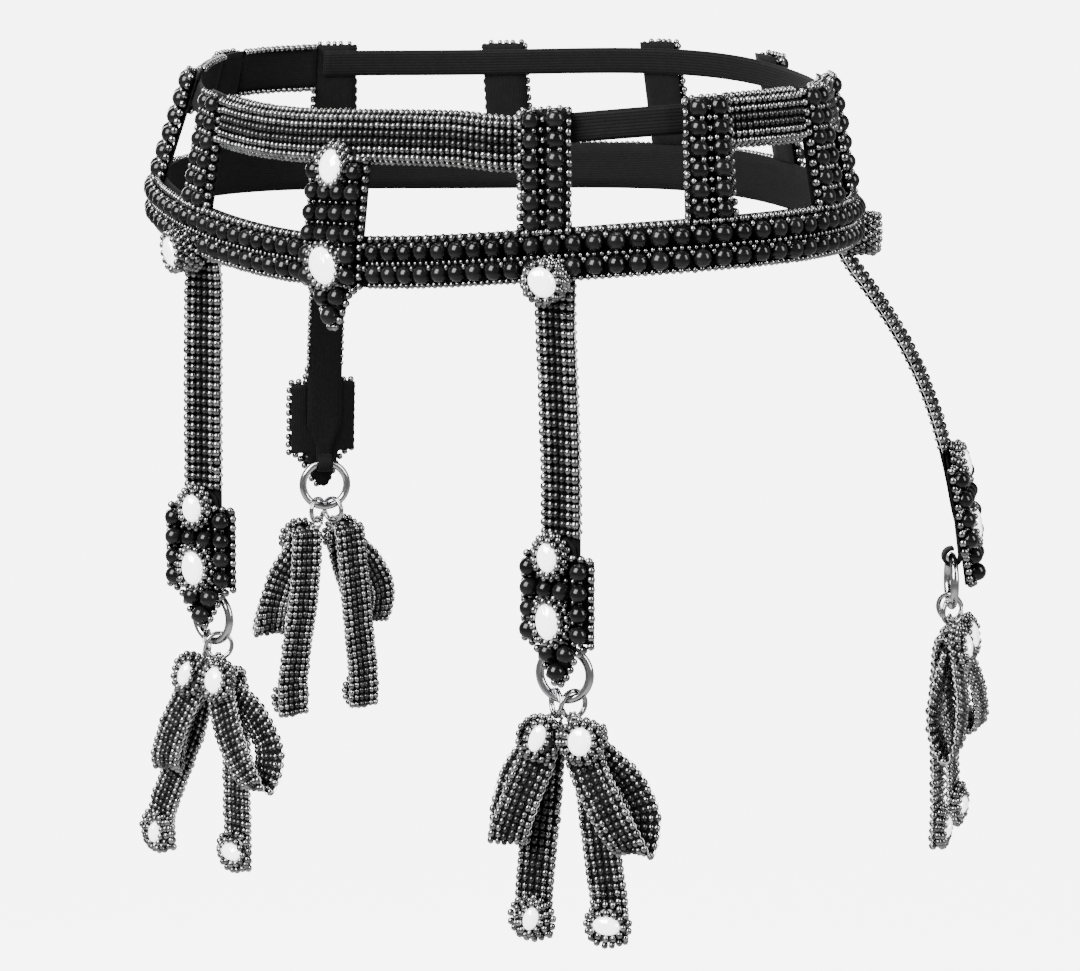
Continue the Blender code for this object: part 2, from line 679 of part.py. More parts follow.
def build_belt(black, gunmetal, ribbon):
    """Bands, posts, elastic and tab."""
    right = np.arange(-FRONT_END, -TAB_HALF)
    tab = np.linspace(-TAB_HALF, TAB_HALF + LEFT_SHIFT, 2 * TAB_HALF + 1)[:-1]
    left = np.arange(TAB_HALF, FRONT_END + 1) + LEFT_SHIFT
    inset = GAP / 2 / BEAD_PITCH
    front = [float(k) for k in np.concatenate((right, tab, left))]
    front[0] += inset
    front[-1] -= inset
    plain = (-TAB_HALF, TAB_HALF + LEFT_SHIFT)
    lower_band("lower_band_front", front, plain, black)
    back = np.linspace(FRONT_END + LEFT_SHIFT + inset, BELT_BEADS - FRONT_END - inset,
                       HALF_BEADS + 1)
    lower_band("lower_band_back", [float(k) for k in back], (0.0, 0.0), black)

    left_posts = [FIRST_POST + POST_SPACING * k + LEFT_SHIFT for k in range(4)]
    right_posts = [-FIRST_POST - POST_SPACING * k for k in range(4)]
    back_posts = [left_posts[-1] + BACK_POST_SPACING * (k + 1) for k in range(3)]
    for k in range(4):
        post(f"post_left_{k + 1}", left_posts[k], black)
        post(f"post_right_{k + 1}", right_posts[k], black)
    for k in range(3):
        post(f"post_back_{k + 1}", back_posts[k], black)

    clear = (POST_HALF + GAP) / BEAD_PITCH
    seam = GAP / BEAD_PITCH
    middle = TAB_HALF + LEFT_SHIFT
    spans = (
        ("upper_band_front_right", right_posts[0] + clear, middle - seam),
        ("upper_band_front_left", middle, left_posts[0] - clear),
        ("upper_band_left_side", left_posts[1] + clear, left_posts[2] - clear),
        ("upper_band_left_rear", left_posts[2] + clear, left_posts[3] - clear),
        ("upper_band_right_side", right_posts[2] + clear, right_posts[1] - clear),
        ("upper_band_right_rear", right_posts[3] + clear, right_posts[2] - clear),
    )
    for name, start, end in spans:
        strip(name, start, end, UPPER_LOW, UPPER_HIGH, RIBBON_BACK, UPPER_FACE, gunmetal)
    behind = RIBBON_BACK - GAP
    elastics = (
        ("elastic_left", left_posts[0] - ELASTIC_TUCK, left_posts[1] + ELASTIC_TUCK),
        ("elastic_right", right_posts[1] - ELASTIC_TUCK, right_posts[0] + ELASTIC_TUCK),
        ("elastic_back", left_posts[3] - ELASTIC_TUCK,
         BELT_BEADS + right_posts[3] + ELASTIC_TUCK),
    )
    for name, start, end in elastics:
        strip(name, start, end, ELASTIC_LOW, ELASTIC_HIGH, behind - RIBBON, behind, ribbon)
    front_tab(black)


def build_garter(name, index, flare, drift, turn, black, gunmetal, steel):
    """One garter: strap, plate, top rosette, ring, split rings and bows."""
    garter = Garter(index, flare, drift, turn)
    garter_strap(f"strap_{name}", garter, gunmetal)
    garter_plate(f"plate_{name}", garter, black)
    top_rosette(f"strap_rosette_{name}", index, gunmetal)
    axis, sideways, outward = garter.hinge()
    up = Vector((0.0, 0.0, 1.0))
    ring_centre = axis - up * RING_RADIUS
    wire_ring(f"ring_{name}", ring_centre, outward, RING_RADIUS, (RING_WIRE, RING_WIRE),
              RING_PARTS, steel)
    for letter, side, tail_drift, spread in [row[1:] for row in BOWS if row[0] == name]:
        pivot = ring_centre + sideways * (side * SPLIT_SIDE)
        pivot -= up * math.sqrt(RING_RADIUS ** 2 - SPLIT_SIDE ** 2)
        split_centre = pivot + up * (SPLIT_RISE - SPLIT_RADIUS)
        wire_ring(f"split_ring_{name}_{letter}", split_centre, sideways, SPLIT_RADIUS,
                  (SPLIT_WIRE, SPLIT_HALF), SPLIT_PARTS, steel)
        bow(f"bow_{name}_{letter}", pivot, sideways, outward, side, tail_drift, spread, gunmetal)


def main():
    """Build the whole belt."""
    clear_scene()
    black = make_material("black_beads", (0.012, 0.012, 0.013), 0.12, 0.0)
    gunmetal = make_material("gunmetal_beads", (0.19, 0.18, 0.18), 0.25, 0.9)
    ribbon = make_material("black_ribbon", (0.010, 0.010, 0.011), 0.85, 0.0)
    steel = make_material("polished_steel", (0.62, 0.62, 0.64), 0.15, 1.0)
    build_belt(black, gunmetal, ribbon)
    for row in GARTERS:
        build_garter(*row, black, gunmetal, steel)


main()
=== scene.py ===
"""The looks of a beaded garter belt: sewn beads, ribbon, stones and wire rings over its frame."""

import logging
import math
from dataclasses import dataclass, field
from enum import Enum
from typing import Callable, Sequence

import bpy
import numpy as np
from bpy.types import Material, Node, NodeSocket, NodeTree, Object
from mathutils import Matrix, Vector

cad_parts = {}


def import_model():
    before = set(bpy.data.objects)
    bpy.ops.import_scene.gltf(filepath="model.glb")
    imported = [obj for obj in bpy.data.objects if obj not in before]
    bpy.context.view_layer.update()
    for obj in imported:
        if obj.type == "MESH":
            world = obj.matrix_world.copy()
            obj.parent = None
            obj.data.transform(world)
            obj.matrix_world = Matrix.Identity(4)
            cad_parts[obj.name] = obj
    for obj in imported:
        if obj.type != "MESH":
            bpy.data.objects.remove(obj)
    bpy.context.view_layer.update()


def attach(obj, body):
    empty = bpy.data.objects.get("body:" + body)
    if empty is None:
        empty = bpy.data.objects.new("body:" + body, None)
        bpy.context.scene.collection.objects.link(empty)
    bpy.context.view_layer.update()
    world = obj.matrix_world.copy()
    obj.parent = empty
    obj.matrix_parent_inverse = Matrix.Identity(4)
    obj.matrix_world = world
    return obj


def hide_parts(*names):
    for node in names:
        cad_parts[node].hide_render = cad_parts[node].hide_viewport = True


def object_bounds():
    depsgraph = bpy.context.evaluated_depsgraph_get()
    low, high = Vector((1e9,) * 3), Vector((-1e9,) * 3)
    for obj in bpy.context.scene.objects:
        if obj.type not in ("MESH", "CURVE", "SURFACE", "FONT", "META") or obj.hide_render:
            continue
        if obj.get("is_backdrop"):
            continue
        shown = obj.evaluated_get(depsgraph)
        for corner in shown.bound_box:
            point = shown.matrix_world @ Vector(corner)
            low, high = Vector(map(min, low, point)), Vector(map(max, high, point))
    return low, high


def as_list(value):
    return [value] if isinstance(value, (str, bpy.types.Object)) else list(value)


LOG = logging.getLogger("beaded_belt")
MM = 0.001
UP = np.array([0.0, 0.0, 1.0])
SEED = 11
# The step that a surface's directions are measured over.
PROBE = 0.5 * MM
# A ribbon's edge keeps this share of its thickness, and its face is this much wider there.
EDGE_SHARE = 0.35
EDGE_SPREAD = 0.07 * MM
NUMBER = "NodeSocketFloat"
VECTOR = "NodeSocketVector"

Array = np.ndarray
Surface = Callable[[Array, Array, Array], Array]
Inputs = dict[str | int, object]


class Look(Enum):
    """The finishes that a sewn piece can use, in the order of its material slots."""

    LARGE = 0
    STEEL_SEED = 1
    BLACK_SEED = 2
    STONE = 3
    THREAD = 4


def unit(vectors: Array) -> Array:
    """Scale the vectors in the last axis to length one."""
    return vectors / np.maximum(np.linalg.norm(vectors, axis=-1, keepdims=True), 1e-12)


def ease(share: Array) -> Array:
    """Run softly from 0 to 1: the clipped share squared, times three less twice the share."""
    share = np.clip(share, 0.0, 1.0)
    return share * share * (3 - 2 * share)


def run_length(points: Array) -> Array:
    """Add up the distances between neighbouring points, from zero at the first one."""
    return np.concatenate(([0.0], np.cumsum(np.linalg.norm(np.diff(points, axis=0), axis=1))))


def stand(name: str, data: bpy.types.ID) -> Object:
    """Put an object made of the data into the scene.

    Args:
        name: its name.
        data: its mesh, lamp or camera.

    Returns:
        The object.
    """
    item = bpy.data.objects.new(name, data)
    bpy.context.scene.collection.objects.link(item)
    return item


@dataclass(frozen=True)
class BeltLine:
    """The line of the lower band and how the belt leans over it."""

    pitch: float = 7.25 * MM
    beads: int = 112
    turn: float = 2.44
    waves: tuple[float, ...] = (-0.0135, -0.286, -0.092, 0.052)
    side_tilt: float = 0.0114
    back_tilt: float = 0.0486
    hip_wave: float = 2.6 * MM
    front_wave: float = 2.3 * MM
    lean: float = 7.3 * MM
    lean_back: float = 1.5 * MM
    lean_height: float = 42.0 * MM
    stand_off: tuple[float, float, float] = (6.5 * MM, 0.83, 0.3)
    right_lean: tuple[float, float, float] = (7.5 * MM, -1.1, 0.5)
    steps: int = 2400
    table: dict[str, Array] = field(default_factory=dict)

    def __post_init__(self) -> None:
        """Work out the line from above: its heading turns once round, with four waves."""
        length = self.pitch * self.beads
        arc = np.linspace(-length / 2, length / 2, self.steps + 1)
        phase = 2 * math.pi * arc / length
        heading = phase + sum(
            size * np.sin((order + 1) * phase) for order, size in enumerate(self.waves)
        )
        step = arc[1] - arc[0]
        east, north = np.cos(heading), np.sin(heading)
        x = np.concatenate(([0.0], np.cumsum((east[1:] + east[:-1]) / 2))) * step
        y = np.concatenate(([0.0], np.cumsum((north[1:] + north[:-1]) / 2))) * step
        x -= x[self.steps // 2]
        y -= (y.min() + y.max()) / 2
        self.table.update(arc=arc, phase=phase, heading=heading, x=x, y=y)

    def along(self, index: Array) -> dict[str, Array]:
        """Look up the line at bead numbers.

        Args:
            index: bead numbers, counted from the front centre.

        Returns:
            x, y, heading, phase and rise at each of them.
        """
        length = self.pitch * self.beads
        arc = (np.asarray(index, float) + self.turn) * self.pitch
        arc = (arc + length / 2) % length - length / 2
        found = {
            key: np.interp(arc, self.table["arc"], self.table[key])
            for key in ("x", "y", "heading", "phase")
        }
        rise = self.side_tilt * found["x"] + self.back_tilt * found["y"]
        rise = rise - self.hip_wave * np.cos(2 * found["phase"])
        found["rise"] = rise - self.front_wave * np.cos(3 * found["phase"])
        return found

    def lean_at(self, phase: Array) -> Array:
        """How far inward the belt leans at its lean height.

        Args:
            phase: angle round the belt.

        Returns:
            The lean in metres.
        """
        size, angle, spread = self.stand_off
        more, right, wide = self.right_lean
        lean = self.lean - self.lean_back * np.cos(phase)
        lean = lean - size * np.exp(-(((phase - angle) / spread) ** 2))
        return lean + more * np.exp(-(((phase - right) / wide) ** 2))

    def point(self, index: Array, height: Array, out: Array) -> Array:
        """Place points on the belt.

        Args:
            index: bead numbers along it.
            height: metres above the upper bead row.
            out: metres outward.

        Returns:
            Points, with x, y and z in the last axis.
        """
        index, height, out = np.broadcast_arrays(index, height, out)
        line = self.along(index)
        lean = np.where(height > 0, np.arcsin(self.lean_at(line["phase"]) / self.lean_height), 0.0)
        away = out - height * np.sin(lean)
        return np.stack(
            (
                line["x"] + np.sin(line["heading"]) * away,
                line["y"] - np.cos(line["heading"]) * away,
                line["rise"] + height * np.cos(lean),
            ),
            axis=-1,
        )

    def panel(self, index: float, shift: float = 0.0, height: float = 0.0) -> Surface:
        """A surface whose first direction is in metres from a bead number.

        Args:
            index: bead number of its middle.
            shift: metres outward.
            height: metres added to its second direction.

        Returns:
            The surface.
        """

        def surface(u: Array, v: Array, out: Array) -> Array:
            """The belt's surface, in metres from the bead number."""
            return self.point(
                index + np.asarray(u) / self.pitch, np.asarray(v) + height, np.asarray(out) + shift
            )

        return surface


@dataclass(frozen=True)
class GarterLine:
    """The line that one garter hangs on, from the belt to its ring."""

    belt: BeltLine
    index: float
    flare: float
    drift: float
    foot_turn: float
    loop_turn: float
    strap_out: float = -4.5 * MM
    flare_from: float = 14.5 * MM
    flare_ease: float = 8.0 * MM
    flare_length: float = 50.0 * MM
    drift_length: float = 90.0 * MM
    twist_length: float = 28.0 * MM
    turn_back: tuple[float, float] = (118.0 * MM, 137.0 * MM)
    loop_axis: float = 140.0 * MM
    loop_radius: float = 3.65 * MM
    step: float = 0.5 * MM
    end: float = 160.0 * MM
    table: dict[str, Array] = field(default_factory=dict)

    def __post_init__(self) -> None:
        """Tabulate the drop and the outward run against the length down the strap."""
        drop = np.arange(0.0, self.end, self.step)
        hanging = np.maximum(drop - self.flare_from, 0.0)
        reach = hanging**2 / (hanging + self.flare_ease) / self.flare_length
        out = self.flare * (1 - np.exp(-reach))
        arc = run_length(np.stack((drop, out), axis=-1))
        line = self.belt.along(np.array(self.index))
        heading = float(line["heading"])
        self.table.update(
            arc=arc,
            drop=drop,
            out=out,
            top=np.array([float(line["x"]), float(line["y"]), float(line["rise"])]),
            outward=np.array([math.sin(heading), -math.cos(heading), 0.0]),
            sideways=np.array([math.cos(heading), math.sin(heading), 0.0]),
        )

    def place(self, arc: Array) -> Array:
        """Points on the strap's face line.

        Args:
            arc: lengths down the strap.

        Returns:
            Points.
        """
        known = self.table
        drop = np.interp(arc, known["arc"], known["drop"])[..., None]
        out = np.interp(arc, known["arc"], known["out"])[..., None]
        reached = self.drift * ease(arc / self.drift_length)
        across = known["sideways"] * reached[..., None]
        return known["top"] + across + known["outward"] * (self.strap_out + out) - UP * drop

    def frame(self, arc: Array) -> tuple[Array, Array, Array, Array]:
        """Points and directions down the strap.

        Args:
            arc: lengths down the strap.

        Returns:
            Points, sideways, upward and outward directions.
        """
        arc = np.asarray(arc, float)
        start, end = self.turn_back
        twist = ease(arc / self.twist_length) * self.foot_turn
        back = ease((arc - start) / (end - start)) * (self.loop_turn - self.foot_turn)
        angle = np.radians(twist + back)
        x, y, _ = self.table["sideways"]
        sideways = np.stack(
            (
                x * np.cos(angle) - y * np.sin(angle),
                x * np.sin(angle) + y * np.cos(angle),
                np.zeros_like(angle),
            ),
            axis=-1,
        )
        upward = unit(self.place(arc - self.step) - self.place(arc + self.step))
        upward = unit(upward - sideways * np.sum(upward * sideways, -1, keepdims=True))
        return self.place(arc), sideways, upward, np.cross(sideways, upward)

    def surface(self, u: Array, v: Array, out: Array) -> Array:
        """The strap's and plate's surface, round the loop at its foot.

        Args:
            u: metres across.
            v: the negative length down.
            out: metres outward.

        Returns:
            Points.
        """
        u, v, out = (np.asarray(a, float) for a in np.broadcast_arrays(u, v, out))
        arc = -v
        point, sideways, _, outward = self.frame(np.minimum(arc, self.loop_axis))
        foot, _, lift, face = self.frame(np.array(self.loop_axis))
        angle = np.maximum(arc - self.loop_axis, 0.0)[..., None] / self.loop_radius
        turned = face * np.cos(angle) - lift * np.sin(angle)
        on_loop = (arc > self.loop_axis)[..., None]
        point = np.where(on_loop, foot + (turned - face) * self.loop_radius, point)
        outward = np.where(on_loop, turned, outward)
        return point + sideways * u[..., None] + outward * out[..., None]

    def flat_plate(self, u: Array, v: Array, out: Array) -> Array:
        """The plate's surface, straight on where the strap turns into its loop.

        Args:
            u: metres across.
            v: the negative length down.
            out: metres outward.

        Returns:
            Points.
        """
        u, v, out = (np.asarray(a, float) for a in np.broadcast_arrays(u, v, out))
        point, sideways, _, outward = self.frame(-v)
        return point + sideways * u[..., None] + outward * out[..., None]

    def hinge(self) -> tuple[Array, Array, Array]:
        """The loop's middle, and the level directions sideways and outward there."""
        foot, sideways, _, face = self.frame(np.array(self.loop_axis))
        return foot - face * self.loop_radius, sideways, np.cross(sideways, UP)

class SewnMesh:
    """One piece, joined from many small surfaces that are kept as arrays."""

    def __init__(self) -> None:
        """Start with nothing joined."""
        self.points: list[Array] = []
        self.faces: list[Array] = []
        self.looks: list[Array] = []
        self.smooth: list[Array] = []
        self.tones: list[Array] = []
        self.local: list[Array] = []
        self.flat: list[Array] = []
        self.count = 0

    def add(
        self,
        points: Array,
        faces: Array,
        look: int = 0,
        smooth: bool = True,
        tone: Array | float = 0.5,
        local: Array | None = None,
        flat: Array | None = None,
    ) -> None:
        """Add a surface.

        Args:
            points: its points.
            faces: rows of point numbers, all with the same number of corners.
            look: its material slot.
            smooth: whether it is shaded smooth.
            tone: a value for each point that varies its finish.
            local: the points in their bead's own directions.
            flat: the points' places on the flat cut, in metres.
        """
        size = len(points)
        self.points.append(points)
        self.faces.append(faces + self.count)
        self.looks.append(np.full(len(faces), look))
        self.smooth.append(np.full(len(faces), smooth))
        self.tones.append(np.broadcast_to(tone, (size,)).astype(float))
        self.local.append(np.zeros((size, 3)) if local is None else local)
        self.flat.append(np.zeros((size, 2)) if flat is None else flat)
        self.count += size

    def build(self, name: str, materials: Sequence[Material]) -> Object:
        """Make the object.

        Args:
            name: its name.
            materials: its material slots.

        Returns:
            The object, in the scene.
        """
        mesh = bpy.data.meshes.new(name)
        points = np.concatenate(self.points)
        loops = np.concatenate([faces.ravel() for faces in self.faces])
        sides = np.concatenate([np.full(len(f), f.shape[1]) for f in self.faces])
        mesh.vertices.add(len(points))
        mesh.vertices.foreach_set("co", points.astype(np.float32).ravel())
        mesh.loops.add(len(loops))
        mesh.loops.foreach_set("vertex_index", loops.astype(np.int32))
        mesh.polygons.add(len(sides))
        starts = np.concatenate(([0], np.cumsum(sides)[:-1]))
        mesh.polygons.foreach_set("loop_start", starts.astype(np.int32))
        mesh.polygons.foreach_set("material_index", np.concatenate(self.looks).astype(np.int32))
        mesh.update(calc_edges=True)
        mesh.polygons.foreach_set("use_smooth", np.concatenate(self.smooth))
        tones, local = np.concatenate(self.tones), np.concatenate(self.local)
        tone = mesh.attributes.new("tone", "FLOAT", "POINT")
        tone.data.foreach_set("value", tones.astype(np.float32))
        place = mesh.attributes.new("local", "FLOAT_VECTOR", "POINT")
        place.data.foreach_set("vector", local.astype(np.float32).ravel())
        cloth = mesh.uv_layers.new(name="cloth")
        flat = np.concatenate(self.flat)[loops]
        cloth.data.foreach_set("uv", flat.astype(np.float32).ravel())
        for material in materials:
            mesh.materials.append(material)
        mesh.update()
        return stand(name, mesh)


class Beadwork:
    """Sews round beads, stones and thread on surfaces."""

    size_spread = 0.025
    thread_half = 0.13 * MM

    def __init__(self) -> None:
        """Seed the random draws, and shape the large and the small bead."""
        self.random = np.random.default_rng(SEED)
        self.large = self.ball(sides=16, rows=7, hole=0.03)
        self.small = self.ball(sides=8, rows=3, hole=0.15)

    @staticmethod
    def ball(sides: int, rows: int, hole: float) -> tuple[Array, Array]:
        """A bead turned about its thread, with a dimple at both ends of it.

        Args:
            sides: corners round the thread.
            rows: rings of corners along it.
            hole: how deep the dimples are, over its radius.

        Returns:
            Its points and faces.
        """
        polar = math.pi * (np.arange(rows) + 1) / (rows + 1)
        turn = 2 * math.pi * np.arange(sides) / sides
        rings = np.stack(
            np.broadcast_arrays(
                np.cos(polar)[:, None],
                np.sin(polar)[:, None] * np.cos(turn),
                np.sin(polar)[:, None] * np.sin(turn),
            ),
            axis=-1,
        ).reshape(-1, 3)
        depth = 1.0 - hole
        points = np.concatenate((rings, ((depth, 0.0, 0.0), (-depth, 0.0, 0.0))))
        side = np.arange(sides)
        after = (side + 1) % sides
        faces = []
        for row in range(rows - 1):
            low, high = row * sides, (row + 1) * sides
            faces.append(np.stack((low + side, high + side, high + after), axis=1))
            faces.append(np.stack((low + side, high + after, low + after), axis=1))
        first, last = sides * rows, sides * rows + 1
        end = (rows - 1) * sides
        faces.append(np.stack((np.full(sides, first), side, after), axis=1))
        faces.append(np.stack((np.full(sides, last), end + after, end + side), axis=1))
        return points, np.concatenate(faces)

    @staticmethod
    def directions(surface: Surface, u: Array, v: Array, out: Array) -> tuple[Array, Array]:
        """Points on a surface and the directions there.

        Args:
            surface: the surface.
            u: places across.
            v: places along.
            out: metres outward.

        Returns:
            The points, and three unit directions for each as rows.
        """
        point = surface(u, v, out)
        across = unit(surface(u + PROBE, v, out) - surface(u - PROBE, v, out))
        outward = unit(surface(u, v, out + PROBE) - point)
        outward = unit(outward - across * np.sum(outward * across, -1, keepdims=True))
        return point, np.stack((across, np.cross(outward, across), outward), axis=-2)

    def beads(
        self,
        piece: SewnMesh,
        surface: Surface,
        u: Array | float,
        v: Array | float,
        out: Array | float,
        radius: Array | float,
        look: Look,
        squash: float = 0.9,
        wobble: float = 0.06 * MM,
    ) -> None:
        """Sew beads on a surface, their thread running across it.

        Args:
            piece: the piece that they belong to.
            surface: the surface.
            u: places across.
            v: places along.
            out: how far outward their middles are, in metres.
            radius: their radius.
            look: their finish.
            squash: a seed bead's length along the thread over its width.
            wobble: how unevenly they sit.
        """
        u, v, out, radius = (
            np.array(a, float).ravel() for a in np.broadcast_arrays(u, v, out, radius)
        )
        point, rows = self.directions(surface, u, v, out)
        point = point + self.random.normal(0.0, wobble, point.shape)
        size = radius * self.random.normal(1.0, self.size_spread, radius.shape)
        ball, faces = self.large if look is Look.LARGE else self.small
        shape = ball * np.array([1.0 if look is Look.LARGE else squash, 1.0, 1.0])
        points = point[:, None, :] + np.einsum("mk,nkj->nmj", shape, rows) * size[:, None, None]
        numbers = faces[None] + (np.arange(len(u)) * len(ball))[:, None, None]
        tone = np.repeat(self.random.random(len(u)), len(ball))
        local = np.tile(ball, (len(u), 1))
        points, numbers = points.reshape(-1, 3), numbers.reshape(-1, 3)
        piece.add(points, numbers, look.value, tone=tone, local=local)

    def grid(
        self,
        piece: SewnMesh,
        surface: Surface,
        across: Sequence[float] | Array | float,
        along: Array,
        out: float,
        radius: float,
        look: Look,
    ) -> None:
        """Sew beads where columns and rows cross.

        Args:
            piece: the piece that they belong to.
            surface: the surface.
            across: the columns' places.
            along: the rows' places.
            out: how far outward their middles are.
            radius: their radius.
            look: their finish.
        """
        u, v = np.meshgrid(across, along)
        self.beads(piece, surface, u, v, out, radius, look)

    def stone(
        self,
        piece: SewnMesh,
        surface: Surface,
        u: float,
        v: float,
        out: float,
        half: tuple[float, float],
        height: float,
        tilt: float = 0.0,
        sides: int = 16,
    ) -> None:
        """Set a cut oval stone: a belly, two rows of facets and a flat top.

        Args:
            piece: the piece that it belongs to.
            surface: the surface.
            u: its place across.
            v: its place along.
            out: its girdle's height over the surface.
            half: half its width and half its height.
            height: its rise from girdle to top.
            tilt: its turn in its own plane, in radians.
            sides: facets round it.
        """
        # Each ring's share of the size, its rise over the height and its turn in facets.
        rows = ((0.9, -0.5, 0.0), (1.0, 0.0, 0.0), (0.82, 0.62, 0.5), (0.5, 1.0, 0.0))
        rings = []
        for share, rise, offset in rows:
            angle = 2 * math.pi * (np.arange(sides) + offset) / sides
            a, b = half[0] * share * np.cos(angle), half[1] * share * np.sin(angle)
            x = a * math.cos(tilt) - b * math.sin(tilt)
            y = a * math.sin(tilt) + b * math.cos(tilt)
            rings.append(surface(u + x, v + y, np.full(sides, out + rise * height)))
        middle = surface(np.array([u]), np.array([v]), np.array([out + height]))
        points = np.concatenate((*rings, middle))
        side = np.arange(sides)
        after = (side + 1) % sides
        faces = []
        for ring in range(len(rows) - 1):
            low, high = ring * sides, (ring + 1) * sides
            faces.append(np.stack((low + side, low + after, high + side), axis=1))
            faces.append(np.stack((low + after, high + after, high + side), axis=1))
        top = (len(rows) - 1) * sides
        faces.append(np.stack((top + side, top + after, np.full(sides, len(points) - 1)), axis=1))
        piece.add(points, np.concatenate(faces), Look.STONE.value, smooth=False)

    def pad(
        self,
        piece: SewnMesh,
        surface: Surface,
        u: float,
        v: float,
        base: float,
        half: tuple[float, float],
        height: float,
    ) -> None:
        """Fill a rosette with a dark domed pad: a ball stretched to its size.

        Args:
            piece: the piece that it belongs to.
            surface: the surface.
            u: its place across.
            v: its place along.
            base: the surface's level under it.
            half: half its width and half its height.
            height: its rise.
        """
        ball, faces = self.large
        points = surface(
            u + ball[:, 1] * half[0],
            v + ball[:, 2] * half[1],
            base + height / 2 + ball[:, 0] * height / 2,
        )
        # Shifted bead coordinates keep the beads' painted hole shade off the pad.
        clear_of_hole_shade = ball * 0.5 + 0.5
        piece.add(points, faces, Look.BLACK_SEED.value, tone=0.2, local=clear_of_hole_shade)

    def thread(
        self, piece: SewnMesh, surface: Surface, u: Array, v: Array, out: Array
    ) -> None:
        """Lay a fine thread on a surface.

        Args:
            piece: the piece that it belongs to.
            surface: the surface.
            u: places across.
            v: places along.
            out: metres outward.
        """
        points = surface(u, v, out)
        toward = surface(u, v, out + MM) - points
        half = self.thread_half
        tube(piece, points, toward, half, half, 4, Look.THREAD.value, closed=False)


def tube(
    piece: SewnMesh,
    path: Array,
    spoke: Array,
    radial: float,
    axial: float,
    sides: int,
    look: int,
    closed: bool,
) -> None:
    """Carry an oval section along a path: a cosine along each spoke and a sine across it.

    Args:
        piece: the piece that it belongs to.
        path: the path's points.
        spoke: a direction across the path at each point.
        radial: half the section along that direction.
        axial: half the section across it.
        sides: corners of the section.
        look: its material slot.
        closed: whether the path's end joins its start.
    """
    if closed:
        ahead = unit(np.roll(path, -1, axis=0) - np.roll(path, 1, axis=0))
    else:
        ahead = unit(np.gradient(path, axis=0))
    spoke = unit(spoke - ahead * np.sum(spoke * ahead, -1, keepdims=True))
    across = np.cross(ahead, spoke)
    angle = 2 * math.pi * np.arange(sides) / sides
    ring = (
        spoke[:, None, :] * (radial * np.cos(angle))[None, :, None]
        + across[:, None, :] * (axial * np.sin(angle))[None, :, None]
    )
    count = len(path)
    rows = np.arange(count if closed else count - 1)
    row, side = np.meshgrid(rows, np.arange(sides), indexing="ij")
    after, beside = (row + 1) % count * sides, (side + 1) % sides
    row = row * sides
    faces = np.stack((row + side, after + side, after + beside, row + beside), axis=-1)
    flat = np.stack(np.broadcast_arrays(angle[None, :], run_length(path)[:, None]), axis=-1)
    points = (path[:, None, :] + ring).reshape(-1, 3)
    piece.add(points, faces.reshape(-1, 4), look, flat=flat.reshape(-1, 2))


def ribbon_shell(
    surface: Surface,
    half_width: float | Callable[[Array], Array],
    v: Array,
    across: int,
    face: float,
    back: float,
) -> SewnMesh:
    """A ribbon as a thin closed shell with soft edges: its face, its back and a rim.

    Args:
        surface: the surface that it lies on, with both directions in metres.
        half_width: half its width, or a function that gives it at each place along.
        v: places along it.
        across: parts across it.
        face: how far outward its face is.
        back: how far outward its back is.

    Returns:
        The ribbon's mesh.
    """
    vv, share = np.meshgrid(v, np.linspace(-1.0, 1.0, across + 1), indexing="ij")
    uu = share * (half_width(vv) if callable(half_width) else half_width)
    middle, thick = (face + back) / 2, (face - back) / 2
    edge = np.abs(share) == 1.0
    spread = np.where(edge, EDGE_SPREAD, 0.0) * np.sign(share)
    front = surface(uu + spread, vv, np.where(edge, middle + EDGE_SHARE * thick, face))
    rear = surface(uu, vv, np.where(edge, middle - EDGE_SHARE * thick, back))
    rows, columns = vv.shape
    number = np.arange(rows * columns).reshape(rows, columns)
    low, high = number[:-1, :], number[1:, :]
    quads = np.stack((low[:, :-1], low[:, 1:], high[:, 1:], high[:, :-1]), axis=-1).reshape(-1, 4)
    shift = rows * columns
    rim = np.concatenate((number[:, 0], number[-1, 1:], number[-2::-1, -1], number[0, -2:0:-1]))
    next_rim = np.roll(rim, -1)
    sides = np.stack((rim, next_rim, next_rim + shift, rim + shift), axis=-1)
    faces = np.concatenate((quads, quads[:, ::-1] + shift, sides))
    flat = np.stack((uu, vv), axis=-1).reshape(-1, 2)
    mesh = SewnMesh()
    points = np.concatenate((front.reshape(-1, 3), rear.reshape(-1, 3)))
    mesh.add(points, faces, flat=np.concatenate((flat, flat)))
    return mesh


